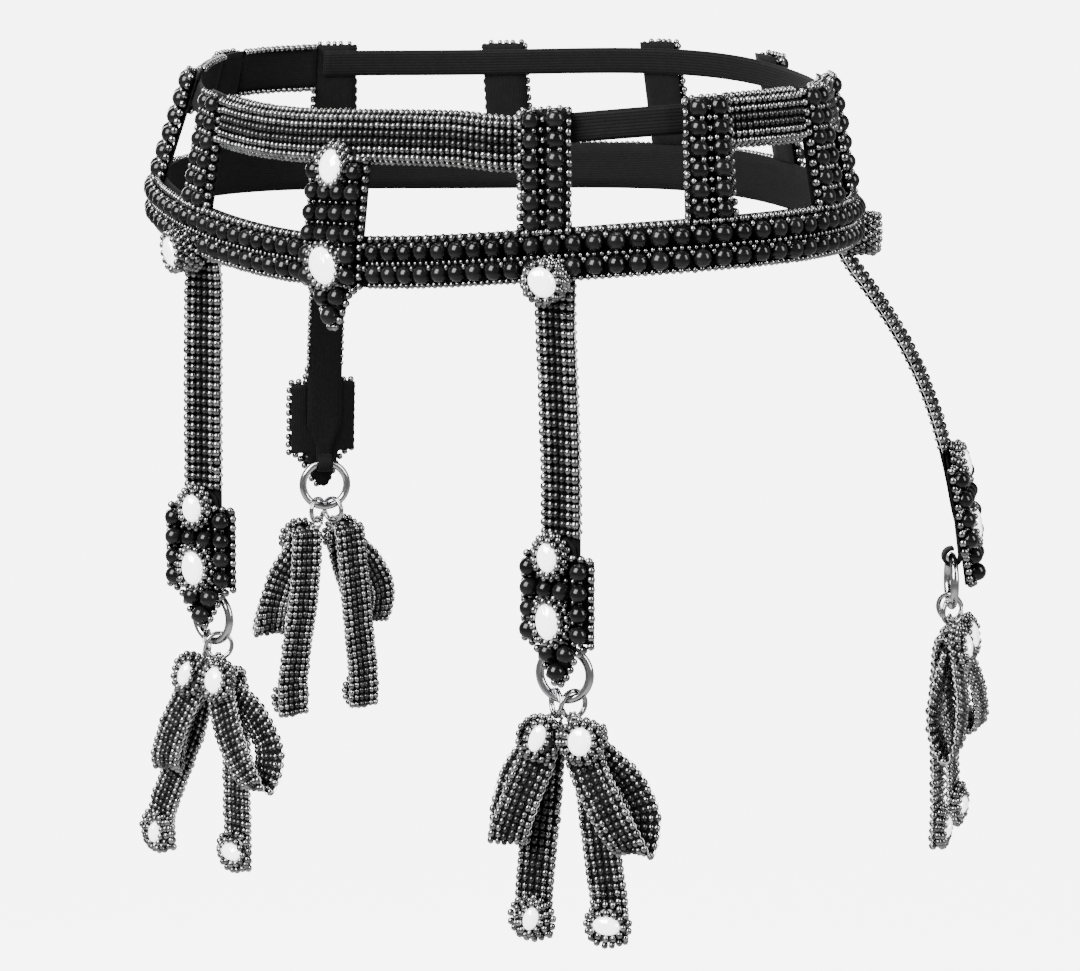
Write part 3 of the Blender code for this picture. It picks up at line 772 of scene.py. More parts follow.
class Graph:
    """Short calls for building a node tree."""

    def __init__(self, tree: NodeTree) -> None:
        """Keep the tree that the calls build."""
        self.tree = tree

    def feed(self, node: Node, inputs: Inputs) -> None:
        """Join sockets to a node's inputs, or set values there.

        Args:
            node: the node.
            inputs: sockets or values, by the input's name or number.
        """
        for key, value in inputs.items():
            if isinstance(value, NodeSocket):
                self.tree.links.new(value, node.inputs[key])
            else:
                node.inputs[key].default_value = value

    def node(self, kind: str, inputs: Inputs | None = None, **settings: object) -> Node:
        """Add a node.

        Args:
            kind: its type.
            inputs: what goes into it.
            settings: its properties.

        Returns:
            The node.
        """
        made = self.tree.nodes.new(kind)
        for key, value in settings.items():
            setattr(made, key, value)
        self.feed(made, inputs or {})
        return made

    def math(self, operation: str, *values: object) -> NodeSocket:
        """Add a math node that works on sockets or numbers, and give its output."""
        return self.node("ShaderNodeMath", dict(enumerate(values)), operation=operation).outputs[0]

    def effect(self, tree: NodeTree, **inputs: object) -> Node:
        """Add a shared group with what goes into it."""
        return self.node("ShaderNodeGroup", inputs, node_tree=tree)

    def place(self) -> NodeSocket:
        """Give each point's place on its piece."""
        return self.node("ShaderNodeTexCoord").outputs["Object"]

    def ramp(
        self, value: NodeSocket, stops: Sequence[tuple[float, tuple[float, ...]]]
    ) -> NodeSocket:
        """Add a colour ramp.

        Args:
            value: what it reads.
            stops: two places and their colours.

        Returns:
            Its colour.
        """
        made = self.node("ShaderNodeValToRGB", {0: value})
        for element, (place, colour) in zip(made.color_ramp.elements, stops):
            element.position = place
            element.color = (*colour, 1.0)
        return made.outputs[0]


def group(
    name: str, inputs: dict[str, float | None], outputs: dict[str, str]
) -> tuple[Graph, Node, Node]:
    """Start a node group.

    Args:
        name: its name.
        inputs: default values by name, or None for a vector.
        outputs: socket types by name.

    Returns:
        Its graph, its input node and its output node.
    """
    tree = bpy.data.node_groups.new(name, "ShaderNodeTree")
    for label, value in inputs.items():
        kind = VECTOR if value is None else NUMBER
        made = tree.interface.new_socket(label, in_out="INPUT", socket_type=kind)
        if value is not None:
            made.default_value = value
    for label, kind in outputs.items():
        tree.interface.new_socket(label, in_out="OUTPUT", socket_type=kind)
    graph = Graph(tree)
    return graph, graph.node("NodeGroupInput"), graph.node("NodeGroupOutput")


class SharedEffects:
    """Node groups that several finishes use."""

    first_share = 0.6
    second_share = 0.4
    broad_scale = 0.22
    hole_shade_sharpness = 12.0

    def __init__(self) -> None:
        """Build each group once."""
        self.grain = self.make_grain()
        self.weave = self.make_weave()
        self.bead = self.make_bead()

    def emboss(
        self,
        graph: Graph,
        start: Node,
        end: Node,
        heights: Sequence[NodeSocket],
        strength: float,
    ) -> NodeTree:
        """Mix two heights, bump the normal with them and put out both.

        Args:
            graph: the group's graph.
            start: its input node, with a depth.
            end: its output node.
            heights: the stronger and the weaker height.
            strength: how strongly they bump.

        Returns:
            The group.
        """
        weaker = graph.math("MULTIPLY", heights[1], self.second_share)
        mask = graph.math("MULTIPLY_ADD", heights[0], self.first_share, weaker)
        depth = {"Strength": strength, "Distance": start.outputs["Depth"], "Height": mask}
        bump = graph.node("ShaderNodeBump", depth)
        graph.feed(end, {"Mask": mask, "Normal": bump.outputs[0]})
        return graph.tree

    def make_grain(self) -> NodeTree:
        """Fine unevenness from two sizes of noise.

        Returns:
            A group that puts out a mask and a normal.
        """
        inputs = {"Place": None, "Size": 2000.0, "Depth": 0.00002}
        graph, start, end = group("FineGrain", inputs, {"Mask": NUMBER, "Normal": VECTOR})
        size = start.outputs["Size"]
        broad = graph.math("MULTIPLY", size, self.broad_scale)
        heights = []
        for scale, detail in ((size, 4.0), (broad, 2.0)):
            noise = {"Vector": start.outputs["Place"], "Scale": scale, "Detail": detail}
            heights.append(graph.node("ShaderNodeTexNoise", noise).outputs[0])
        return self.emboss(graph, start, end, heights, strength=0.6)

    def make_weave(self) -> NodeTree:
        """Woven ribs: crossing threads that pass over each other in turn, as sine waves.

        Returns:
            A group that puts out a height mask and a normal.
        """
        inputs = {"Place": None, "Ribs": 1400.0, "Picks": 2200.0, "Depth": 0.00012}
        graph, start, end = group("RibWeave", inputs, {"Mask": NUMBER, "Normal": VECTOR})
        parts = graph.node("ShaderNodeSeparateXYZ", {0: start.outputs["Place"]})
        waves = []
        for part, count in enumerate(("Ribs", "Picks")):
            threads = graph.math("MULTIPLY", parts.outputs[part], start.outputs[count])
            waves.append(graph.math("SINE", graph.math("MULTIPLY", threads, math.pi)))
        over = graph.math("ABSOLUTE", graph.math("MULTIPLY", *waves))
        rib = graph.math("ABSOLUTE", waves[0])
        return self.emboss(graph, start, end, (rib, over), strength=0.9)

    def make_bead(self) -> NodeTree:
        """A bead's own variation, and a painted shade in the mouth of its thread hole.

        Returns:
            A group that puts out a tone and the mask of the painted hole shade.
        """
        graph, start, end = group("BeadVariation", {"HoleShade": 0.17}, {"Tone": NUMBER, "HoleShade": NUMBER})
        tone = graph.node("ShaderNodeAttribute", attribute_name="tone")
        local = graph.node("ShaderNodeAttribute", attribute_name="local")
        parts = graph.node("ShaderNodeSeparateXYZ", {0: local.outputs["Vector"]})
        squares = [graph.math("POWER", parts.outputs[axis], 2.0) for axis in (1, 2)]
        away = graph.math("SQRT", graph.math("ADD", *squares))
        inside = graph.math("SUBTRACT", start.outputs[0], away)
        sharp = graph.math("MULTIPLY", inside, self.hole_shade_sharpness)
        # Mask of the painted shade at the thread hole's mouth, sharp at its rim.
        hole = graph.node("ShaderNodeClamp", {0: sharp})
        graph.feed(end, {"Tone": tone.outputs["Fac"], "HoleShade": hole.outputs[0]})
        return graph.tree


@dataclass(frozen=True)
class Finish:
    """A Principled material that starts with one colour."""

    name: str
    colour: tuple[float, float, float]
    roughness: float

    def start(self) -> tuple[Material, Graph, Node]:
        """Make the material.

        Returns:
            The material, its graph and its shader.
        """
        material = bpy.data.materials.new(self.name)
        material.use_nodes = True
        material.diffuse_color = (*self.colour, 1.0)
        graph = Graph(material.node_tree)
        shader = material.node_tree.nodes["Principled BSDF"]
        graph.feed(shader, {"Base Color": (*self.colour, 1.0), "Roughness": self.roughness})
        return material, graph, shader


@dataclass(frozen=True)
class BeadFinish(Finish):
    """Glass or metal-coated beads, each a little different."""

    bright: tuple[float, float, float]
    metallic: float
    spread: float
    gloss: float

    def make(self, effects: SharedEffects) -> Material:
        """Build the finish.

        Args:
            effects: the shared groups.

        Returns:
            The material.
        """
        material, graph, shader = self.start()
        bead = graph.effect(effects.bead)
        grain = graph.effect(effects.grain, Place=graph.place(), Size=2600.0, Depth=0.000003)
        tone = bead.outputs["Tone"]
        colour = graph.ramp(tone, ((0.0, self.colour), (1.0, self.bright)))
        # Painted shade: the colour turns near-black inside the mask at the thread hole's mouth.
        hole_shade = {0: bead.outputs["HoleShade"], 6: colour, 7: (0.002, 0.002, 0.002, 1.0)}
        mix = graph.node("ShaderNodeMix", hole_shade, data_type="RGBA")
        rough = graph.math("MULTIPLY_ADD", tone, self.spread, self.roughness)
        rough = graph.math("MULTIPLY_ADD", grain.outputs["Mask"], self.spread, rough)
        look = {
            "Base Color": mix.outputs[2],
            "Roughness": rough,
            "Normal": grain.outputs["Normal"],
            "Metallic": self.metallic,
            "Specular IOR Level": self.gloss,
        }
        graph.feed(shader, look)
        return material


@dataclass(frozen=True)
class RibbonFinish(Finish):
    """Woven black ribbon or elastic."""

    ribs: float
    picks: float
    thread: tuple[float, float, float]

    def make(self, effects: SharedEffects) -> Material:
        """Build the finish.

        Args:
            effects: the shared groups.

        Returns:
            The material.
        """
        material, graph, shader = self.start()
        cloth = graph.node("ShaderNodeUVMap", uv_map="cloth").outputs[0]
        weave = graph.effect(effects.weave, Place=cloth, Ribs=self.ribs, Picks=self.picks)
        grain = graph.effect(effects.grain, Place=cloth, Size=900.0)
        height = graph.math("MULTIPLY", weave.outputs["Mask"], grain.outputs["Mask"])
        look = {
            "Base Color": graph.ramp(height, ((0.1, self.colour), (0.75, self.thread))),
            "Normal": weave.outputs["Normal"],
            "Specular IOR Level": 0.09,
            "Sheen Weight": 0.012,
            "Sheen Roughness": 0.5,
        }
        graph.feed(shader, look)
        return material


@dataclass(frozen=True)
class WireFinish(Finish):
    """Bright steel wire with fine drawing marks along it."""

    def make(self, effects: SharedEffects) -> Material:
        """Build the finish.

        Args:
            effects: the shared groups.

        Returns:
            The material.
        """
        material, graph, shader = self.start()
        grain = graph.effect(effects.grain, Place=graph.place(), Size=1500.0, Depth=0.000012)
        marks = graph.math("MULTIPLY_ADD", grain.outputs["Mask"], 0.12, self.roughness)
        look = {"Roughness": marks, "Normal": grain.outputs["Normal"], "Metallic": 1.0}
        graph.feed(shader, look)
        return material


@dataclass(frozen=True)
class StoneFinish(Finish):
    """A foil-backed cut stone, sharp on its facets, with a painted glow from its emission in place
    of its bright highlights.
    """

    glow: float

    def make(self) -> Material:
        """Build the finish.

        Returns:
            The material.
        """
        material, graph, shader = self.start()
        cells = graph.node("ShaderNodeTexVoronoi", {"Vector": graph.place(), "Scale": 700.0})
        stops = ((0.0, (1.0, 1.0, 1.0)), (1.0, self.colour))
        look = {
            "Base Color": graph.ramp(cells.outputs["Distance"], stops),
            "Metallic": 0.35,
            "Coat Weight": 1.0,
            "Coat Roughness": 0.02,
            # Painted glow: the emission paints the stone's white highlights, though the stone is no
            # lamp.
            "Emission Color": (1.0, 1.0, 1.0, 1.0),
            "Emission Strength": self.glow,
        }
        graph.feed(shader, look)
        return material


@dataclass(frozen=True)
class ThreadFinish(Finish):
    """Fine clear nylon thread."""

    bright: tuple[float, float, float]

    def make(self, effects: SharedEffects) -> Material:
        """Build the finish.

        Args:
            effects: the shared groups.

        Returns:
            The material.
        """
        material, graph, shader = self.start()
        grain = graph.effect(effects.grain, Place=graph.place(), Size=900.0, Depth=0.00002)
        colour = graph.ramp(grain.outputs["Mask"], ((0.2, self.colour), (0.8, self.bright)))
        graph.feed(shader, {"Base Color": colour, "Coat Weight": 0.5})
        return material


class Palette:
    """Every finish of the belt."""

    def __init__(self) -> None:
        """Build each finish once, the sewn ones in the order of their slots."""
        effects = SharedEffects()
        large = BeadFinish(
            "glossy_black_bead",
            (0.002,) * 3,
            roughness=0.13,
            bright=(0.006,) * 3,
            metallic=0.0,
            spread=0.04,
            gloss=0.3,
        )
        steel = BeadFinish(
            "steel_seed_bead",
            (0.15,) * 3,
            roughness=0.11,
            bright=(0.33,) * 3,
            metallic=1.0,
            spread=0.03,
            gloss=0.5,
        )
        black = BeadFinish(
            "black_seed_bead",
            (0.003,) * 3,
            roughness=0.12,
            bright=(0.012,) * 3,
            metallic=0.0,
            spread=0.05,
            gloss=0.6,
        )
        # The stone's glow is painted light in place of its white highlights.
        stone = StoneFinish("cut_clear_stone", (0.86, 0.87, 0.88), roughness=0.06, glow=3.2)
        thread = ThreadFinish(
            "clear_thread", (0.45, 0.45, 0.46), roughness=0.35, bright=(0.85, 0.85, 0.86)
        )
        self.sewn = [finish.make(effects) for finish in (large, steel, black)]
        self.sewn += [stone.make(), thread.make(effects)]
        ribbon = RibbonFinish(
            "black_ribbon_weave", (0.002,) * 3, roughness=0.75, ribs=1500.0, picks=2400.0,
            thread=(0.009,) * 3,
        )
        elastic = RibbonFinish(
            "ribbed_elastic", (0.002,) * 3, roughness=0.8, ribs=900.0, picks=1500.0,
            thread=(0.011,) * 3,
        )
        wire = WireFinish("bright_steel_wire", (0.44, 0.44, 0.45), roughness=0.07)
        self.ribbon, self.elastic, self.wire = (
            finish.make(effects) for finish in (ribbon, elastic, wire)
        )


@dataclass(frozen=True)
class Rosette:
    """A stone in rings of seed beads, from its edge outward and down a short wall."""

    half: tuple[float, float]
    stone: tuple[float, float]
    rise: float
    tilt: float = 0.0
    sunk: float = 0.0
    seed: float = 1.4 * MM
    seed_step: float = 1.95
    wobble: float = 0.12 * MM
    ring_step: float = 2.3 * MM
    wall_step: float = 2.1 * MM
    clasp: float = 0.85
    lip: float = 0.1 * MM
    shoulder: float = 1.3 * MM
    foot: float = 0.2 * MM
    pad_share: float = 0.86
    stone_height: float = 1.8 * MM

    def rings(self) -> list[tuple[float, float, float]]:
        """Work out the rings: the top ones close in on the stone, the wall ones go down.

        Returns:
            Half width, half height and level of each.
        """
        near = tuple(size + self.clasp * self.seed for size in self.stone)
        gap = max(self.half[0] - near[0], self.half[1] - near[1])
        count = max(1, round(gap / self.ring_step))
        found = [(*near, self.rise + self.lip)]
        for ring in range(1, count + 1):
            share = ring / count
            wide, high = (a * (1 - share) + b * share for a, b in zip(near, self.half))
            found.append((wide, high, self.rise - self.shoulder * share**1.5))
        level = self.rise - self.shoulder - self.wall_step
        while level > self.foot - self.sunk:
            found.append((*self.half, level))
            level -= self.wall_step
        return found

    def sew(
        self, work: Beadwork, piece: SewnMesh, surface: Surface, u: float, v: float, base: float
    ) -> None:
        """Sew the rosette on a surface.

        Args:
            work: the beadwork.
            piece: the piece that it belongs to.
            surface: the surface, in metres.
            u: its place across.
            v: its place along.
            base: the surface's level under it.
        """
        cos, sin = math.cos(self.tilt), math.sin(self.tilt)
        turn = np.linspace(0.0, 2 * math.pi, 241)
        for number, (wide, high, level) in enumerate(self.rings()):
            run = run_length(np.stack((wide * np.cos(turn), high * np.sin(turn)), axis=-1))
            count = max(8, int(run[-1] / (self.seed_step * self.seed)))
            at = np.interp((np.arange(count) + 0.5 * (number % 2)) / count * run[-1], run, turn)
            x, y = wide * np.cos(at), high * np.sin(at)
            work.beads(
                piece,
                surface,
                u + x * cos - y * sin,
                v + x * sin + y * cos,
                base + level,
                self.seed,
                Look.STEEL_SEED,
                wobble=self.wobble,
            )
        half = (self.half[0] * self.pad_share, self.half[1] * self.pad_share)
        work.pad(piece, surface, u, v, base - self.sunk, half, self.rise + self.sunk)
        level = base + self.rise
        work.stone(piece, surface, u, v, level, self.stone, self.stone_height, self.tilt)


@dataclass(frozen=True)
class BeadSizes:
    """Sizes of the large beads and of the ribbon under them."""

    large: float = 3.25 * MM
    large_out: float = 0.35 * MM
    ribbon_face: float = -2.6 * MM
    ribbon_back: float = -3.8 * MM


@dataclass
class Workshop:
    """What every sub-assembly needs."""

    belt: BeltLine
    work: Beadwork
    palette: Palette
    sizes: BeadSizes

    def make(
        self,
        mesh: SewnMesh,
        name: str,
        body: str,
        slot: str,
        nodes: Sequence[str] = (),
        material: Material | None = None,
    ) -> Object:
        """Make a piece and join it to its body.

        Args:
            mesh: the piece's mesh.
            name: its name.
            body: the body that it rides on.
            slot: the name of a material slot; not used.
            nodes: solids that it stands for.
            material: its finish, or None for what is sewn.

        Returns:
            The piece.
        """
        item = mesh.build(name, [material] if material else self.palette.sewn)
        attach(item, body)
        if nodes:
            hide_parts(*nodes)
        return item

    def sheet(
        self,
        mesh: SewnMesh,
        node: str,
        held: str,
        rests_on: Sequence[str],
        area: float | None = None,
        kind: str = "ribbon",
        body: str = "belt",
    ) -> None:
        """Make a ribbon, elastic or woven core.

        Args:
            mesh: its mesh.
            node: the solid that it stands for.
            held: how it is held; not used.
            rests_on: what it lies on or hangs from.
            area: the cut's area where it isn't a rectangle; not used.
            kind: the end of its name, band for elastic.
            body: the body that it rides on.
        """
        material = self.palette.elastic if kind == "band" else self.palette.ribbon
        item = self.make(mesh, f"{node}_{kind}", body, "black_ribbon", [node], material)
        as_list(rests_on)


@dataclass(frozen=True)
class SeedRow:
    """A row of seed beads: its places past each large bead, in beads, and its level and size."""

    shifts: tuple[float, ...]
    height: float
    out: float
    radius: float


@dataclass(frozen=True)
class LowerBand:
    """Two rows of large beads with seed beads along their edges."""

    top: float = 5.3 * MM
    bottom: float = -12.5 * MM
    row_drop: float = 7.7 * MM
    front_end: int = 28
    left_shift: float = 0.4
    tab_half: float = 2.0
    paired_to: float = 14.0
    seam: float = 0.02 * MM
    stops: int = 141
    pairs: SeedRow = SeedRow((-0.27, 0.21), 4.4 * MM, 0.2 * MM, 1.65 * MM)
    threes: SeedRow = SeedRow((-0.34, -0.02, 0.3), 4.4 * MM, 0.1 * MM, 1.36 * MM)
    fine_rows: tuple[SeedRow, ...] = (
        SeedRow((-0.33, 0.0, 0.33), -11.6 * MM, -0.4 * MM, 1.25 * MM),
        SeedRow((-0.33, 0.0, 0.33), -3.85 * MM, 0.9 * MM, 0.95 * MM),
        SeedRow((-0.5,), 2.4 * MM, 1.3 * MM, 1.15 * MM),
        SeedRow((-0.5,), -5.5 * MM, 1.3 * MM, 1.15 * MM),
    )

    def build(self, shop: Workshop) -> None:
        """Build both halves.

        Args:
            shop: the workshop.
        """
        around = shop.belt.beads
        join, end = self.front_end + self.left_shift, around - self.front_end
        right = np.arange(-self.front_end, -self.tab_half) + 0.5
        left = np.arange(self.tab_half, self.front_end) + self.left_shift + 0.5
        back = np.linspace(join, end, around // 2 + 1)
        self.half(shop, "front", np.concatenate((right, left)), (-self.front_end, join))
        self.half(shop, "back", (back[1:] + back[:-1]) / 2, (join, end))
        LOG.info("lower band built")

    def half(self, shop: Workshop, end: str, beads: Array, span: tuple[float, float]) -> None:
        """Build one half.

        Args:
            shop: the workshop.
            end: front or back.
            beads: bead numbers of the large beads.
            span: the ribbon's ends.
        """
        sizes, work, belt = shop.sizes, shop.work, shop.belt
        piece = SewnMesh()
        for row in (0.0, -self.row_drop):
            work.beads(piece, belt.point, beads, row, sizes.large_out, sizes.large, Look.LARGE)
        near = np.abs(beads) < self.paired_to
        fine = [(row, beads) for row in self.fine_rows]
        for row, past in ((self.pairs, beads[near]), (self.threes, beads[~near]), *fine):
            places = np.concatenate([past + shift for shift in row.shifts])
            seed = (row.height, row.out, row.radius, Look.STEEL_SEED)
            work.beads(piece, belt.point, places, *seed)
        item = shop.make(piece, f"lower_band_{end}_beads", "belt", "black_beads")
        middle = (span[0] + span[1]) / 2
        half = (span[1] - span[0]) / 2 * belt.pitch - self.seam
        width, height = (self.top - self.bottom) / 2, (self.top + self.bottom) / 2

        def turned(u: Array, v: Array, out: Array) -> Array:
            """The band's surface with its second direction along it."""
            return belt.point(middle + v / belt.pitch, height - u, out)

        stops = np.linspace(-half, half, self.stops)
        mesh = ribbon_shell(turned, width, stops, 4, sizes.ribbon_face, sizes.ribbon_back)
        other = "lower_band_back" if end == "front" else "lower_band_front"
        shop.sheet(mesh, f"lower_band_{end}", "stretched", [other])


@dataclass(frozen=True)
class Posts:
    """Upright posts of two bead columns."""

    half: float = 8.8 * MM
    column: float = 4.1 * MM
    column_shift: float = 0.4 * MM
    rows: int = 6
    row: float = 6.7 * MM
    bead_row: float = 6.9 * MM
    bead: float = 3.35 * MM
    foot: float = 5.6 * MM
    foot_reach: float = 0.28 * MM
    edge_places: tuple[float, float] = (-8.3 * MM, 8.8 * MM)
    edge_start: float = 0.4
    edge_out: float = -0.5 * MM
    edge_seed: float = 1.55 * MM
    seam_places: tuple[float, ...] = (-6.4 * MM, -2.6 * MM, 0.0, 2.6 * MM, 6.4 * MM)
    seam_shift: float = 0.1 * MM
    seam_out: float = 1.2 * MM
    seam_seed: float = 1.2 * MM
    middle_out: float = 0.6 * MM
    stops: int = 15
    first: float = 12.0
    spacing: float = 8.0
    back_spacing: float = 9.9
    shift: float = 0.4

    def places(self) -> dict[str, float]:
        """Where the posts stand.

        Returns:
            Bead numbers by node name.
        """
        found = {}
        for k in range(4):
            found[f"post_left_{k + 1}"] = self.first + self.spacing * k + self.shift
            found[f"post_right_{k + 1}"] = -self.first - self.spacing * k
        for k in range(3):
            last = found["post_left_4"]
            found[f"post_back_{k + 1}"] = last + self.back_spacing * (k + 1)
        return found

    def build(self, shop: Workshop) -> None:
        """Build the posts.

        Args:
            shop: the workshop.
        """
        sizes, seed = shop.sizes, Look.STEEL_SEED
        top = self.foot + self.rows * self.row
        columns = np.array((-self.column, self.column)) + self.column_shift
        beads = top - self.row / 2 - self.bead_row * np.arange(self.rows)
        edge = top - self.bead_row / 2 * (np.arange(2 * self.rows) + self.edge_start)
        seams = top - self.bead_row * np.arange(self.rows + 1) + self.seam_shift
        middle = top - self.bead_row * (np.arange(self.rows) + 0.5)
        grids = (
            (columns, beads, sizes.large_out, self.bead, Look.LARGE),
            (self.edge_places, edge, self.edge_out, self.edge_seed, seed),
            (self.seam_places, seams, self.seam_out, self.seam_seed, seed),
            (self.column_shift, middle, self.middle_out, self.seam_seed, seed),
        )
        start, high = self.foot - self.foot_reach, self.rows * self.row + self.foot_reach
        stops = np.linspace(start, start + high, self.stops)
        for name, index in self.places().items():
            surface = shop.belt.panel(index)
            piece = SewnMesh()
            for grid in grids:
                shop.work.grid(piece, surface, *grid)
            item = shop.make(piece, f"{name}_beads", "belt", "black_beads")
            mesh = ribbon_shell(surface, self.half, stops, 4, sizes.ribbon_face, sizes.ribbon_back)
            shop.sheet(mesh, name, "stretched", [self.rests(name)])
        LOG.info("posts built")

    @staticmethod
    def rests(name: str) -> str:
        """Name the band that a post stands on."""
        at_back = name.startswith("post_back") or name.endswith("_4")
        return "lower_band_back" if at_back else "lower_band_front"


@dataclass(frozen=True)
class UpperBand:
    """The upper band's bead strips and the elastics between them."""

    edges: tuple[float, float] = (28.0 * MM, 45.6 * MM)
    column_pitch: float = 2.6 * MM
    rows: int = 6
    row_pitch: float = 2.72 * MM
    seed: float = 1.4 * MM
    seed_out: float = 1.2 * MM
    rim_seed: float = 1.2 * MM
    rim_reach: float = 1.7 * MM
    rims: tuple[tuple[float, float], ...] = ((0.0, -0.4 * MM), (0.5, -2.0 * MM))
    gap: float = 0.03 * MM
    stop_step: float = 1.5 * MM
    fewest_stops: int = 8
    tab_line: float = 2.4
    elastic_edges: tuple[float, float] = (33.5 * MM, 43.5 * MM)
    elastic_face: float = -4.1 * MM
    elastic_back: float = -5.1 * MM
    elastic_tuck: float = 0.8
    front_end: float = 12.5
    rise: float = 2.9 * MM
    rise_middle: float = 1.5
    rise_spread: tuple[float, float] = (8.0, 6.0)
    fall: float = 2.7 * MM
    fall_from: float = 6.5
    fall_length: float = 5.0

    def lift(self, index: Array) -> Array:
        """How far the front strips stand over their level: a soft hump, then a fall at the left.

        Args:
            index: bead numbers.

        Returns:
            Heights to add.
        """
        index = np.asarray(index, float)
        spread = np.where(index < self.rise_middle, *self.rise_spread)
        hump = self.rise * np.exp(-(((index - self.rise_middle) / spread) ** 2))
        level = hump - self.fall * ease((index - self.fall_from) / self.fall_length)
        return np.where(np.abs(index) < self.front_end, level, 0.0)

    def spans(self, posts: Posts) -> tuple[dict[str, tuple[float, float, str, str]], ...]:
        """Where the strips and elastics run, and what they are sewn to.

        Args:
            posts: the posts.

        Returns:
            The bead strips and the elastics, by node name, as both ends and the nodes at them.
        """
        at = posts.places()
        clear = (posts.half + self.gap) / BeltLine.pitch
        seam = self.gap / BeltLine.pitch
        left = [at[f"post_left_{k}"] for k in range(1, 5)]
        right = [at[f"post_right_{k}"] for k in range(1, 5)]
        middle = self.tab_line
        strips = {
            "front_right": (right[0] + clear, middle - seam, "post_right_1", "front_tab"),
            "front_left": (middle, left[0] - clear, "front_tab", "post_left_1"),
            "left_side": (left[1] + clear, left[2] - clear, "post_left_2", "post_left_3"),
            "left_rear": (left[2] + clear, left[3] - clear, "post_left_3", "post_left_4"),
            "right_side": (right[2] + clear, right[1] - clear, "post_right_3", "post_right_2"),
            "right_rear": (right[3] + clear, right[2] - clear, "post_right_4", "post_right_3"),
        }
        tuck, round_back = self.elastic_tuck, BeltLine.beads + right[3]
        elastics = {
            "elastic_left": (left[0] - tuck, left[1] + tuck, "post_left_1", "post_left_2"),
            "elastic_right": (right[1] - tuck, right[0] + tuck, "post_right_2", "post_right_1"),
            "elastic_back": (left[3] - tuck, round_back + tuck, "post_left_4", "post_right_4"),
        }
        return {f"upper_band_{name}": span for name, span in strips.items()}, elastics

    def build(self, shop: Workshop, posts: Posts) -> None:
        """Build the strips and the elastics.

        Args:
            shop: the workshop.
            posts: the posts.
        """
        strips, elastics = self.spans(posts)
        sizes, sew = shop.sizes, shop.work.beads
        face = sizes.ribbon_face
        middle = (self.edges[0] + self.edges[1]) / 2
        heights = middle + (np.arange(self.rows) - (self.rows - 1) / 2) * self.row_pitch
        for name, (start, end, *holders) in strips.items():
            count = int((end - start) * shop.belt.pitch / self.column_pitch)
            places = start + (np.arange(count) + 0.5) / count * (end - start)
            lift = self.lift(places)
            piece = SewnMesh()
            for row, height in enumerate(heights):
                look = Look.BLACK_SEED if row in (2, 3) else Look.STEEL_SEED
                out = face + self.seed_out
                sew(piece, shop.belt.point, places, height + lift, out, self.seed, look)
            step = (end - start) / count
            for height in (heights[0] - self.rim_reach, heights[-1] + self.rim_reach):
                for shift, out in self.rims:
                    at = places + shift * step - step / 4
                    seed = (face + out, self.rim_seed, Look.STEEL_SEED)
                    sew(piece, shop.belt.point, at, height + lift, *seed)
            item = shop.make(piece, f"{name}_beads", "belt", "gunmetal_beads")
            levels = (face, sizes.ribbon_back)
            self.strap(shop, name, (start, end), self.edges, levels, holders, item)
        for name, (start, end, *holders) in elastics.items():
            levels = (self.elastic_face, self.elastic_back)
            self.strap(shop, name, (start, end), self.elastic_edges, levels, holders, None)
        LOG.info("upper band built")

    def strap(
        self,
        shop: Workshop,
        name: str,
        span: tuple[float, float],
        edges: tuple[float, float],
        levels: tuple[float, float],
        holders: Sequence[str],
        beads: Object | None,
    ) -> None:
        """Build one ribbon or elastic along the belt.

        Args:
            shop: the workshop.
            name: the node that it stands for.
            span: its ends, in beads.
            edges: the heights of its lower and upper edge.
            levels: how far outward its face and back are.
            holders: the nodes that its ends are sewn to.
            beads: the beads on it, or None for elastic.
        """
        belt = shop.belt
        middle, height = (span[0] + span[1]) / 2, (edges[0] + edges[1]) / 2
        half, width = (span[1] - span[0]) / 2 * belt.pitch, (edges[1] - edges[0]) / 2

        def turned(u: Array, v: Array, out: Array) -> Array:
            """The band's surface with its second direction along it."""
            index = middle + v / belt.pitch
            return belt.point(index, height - u + (self.lift(index) if beads else 0.0), out)

        count = max(self.fewest_stops, int(half / self.stop_step))
        stops = np.linspace(-half, half, count)
        mesh = ribbon_shell(turned, width, stops, 6, *levels)
        kind = "ribbon" if beads else "band"
        shop.sheet(mesh, name, "stretched", holders, kind=kind)


@dataclass(frozen=True)
class ShieldPlace:
    """Where a shield of beads is and what it carries."""

    node: str
    surface: Surface
    top: float
    rise: float
    small_at: float
    big_rows: tuple[int, int, int]
    face: float
    back: float
    stone: tuple[float, float]
    stone_tilt: float
    stone_shift: float
    held: str
    rests_on: Sequence[str]


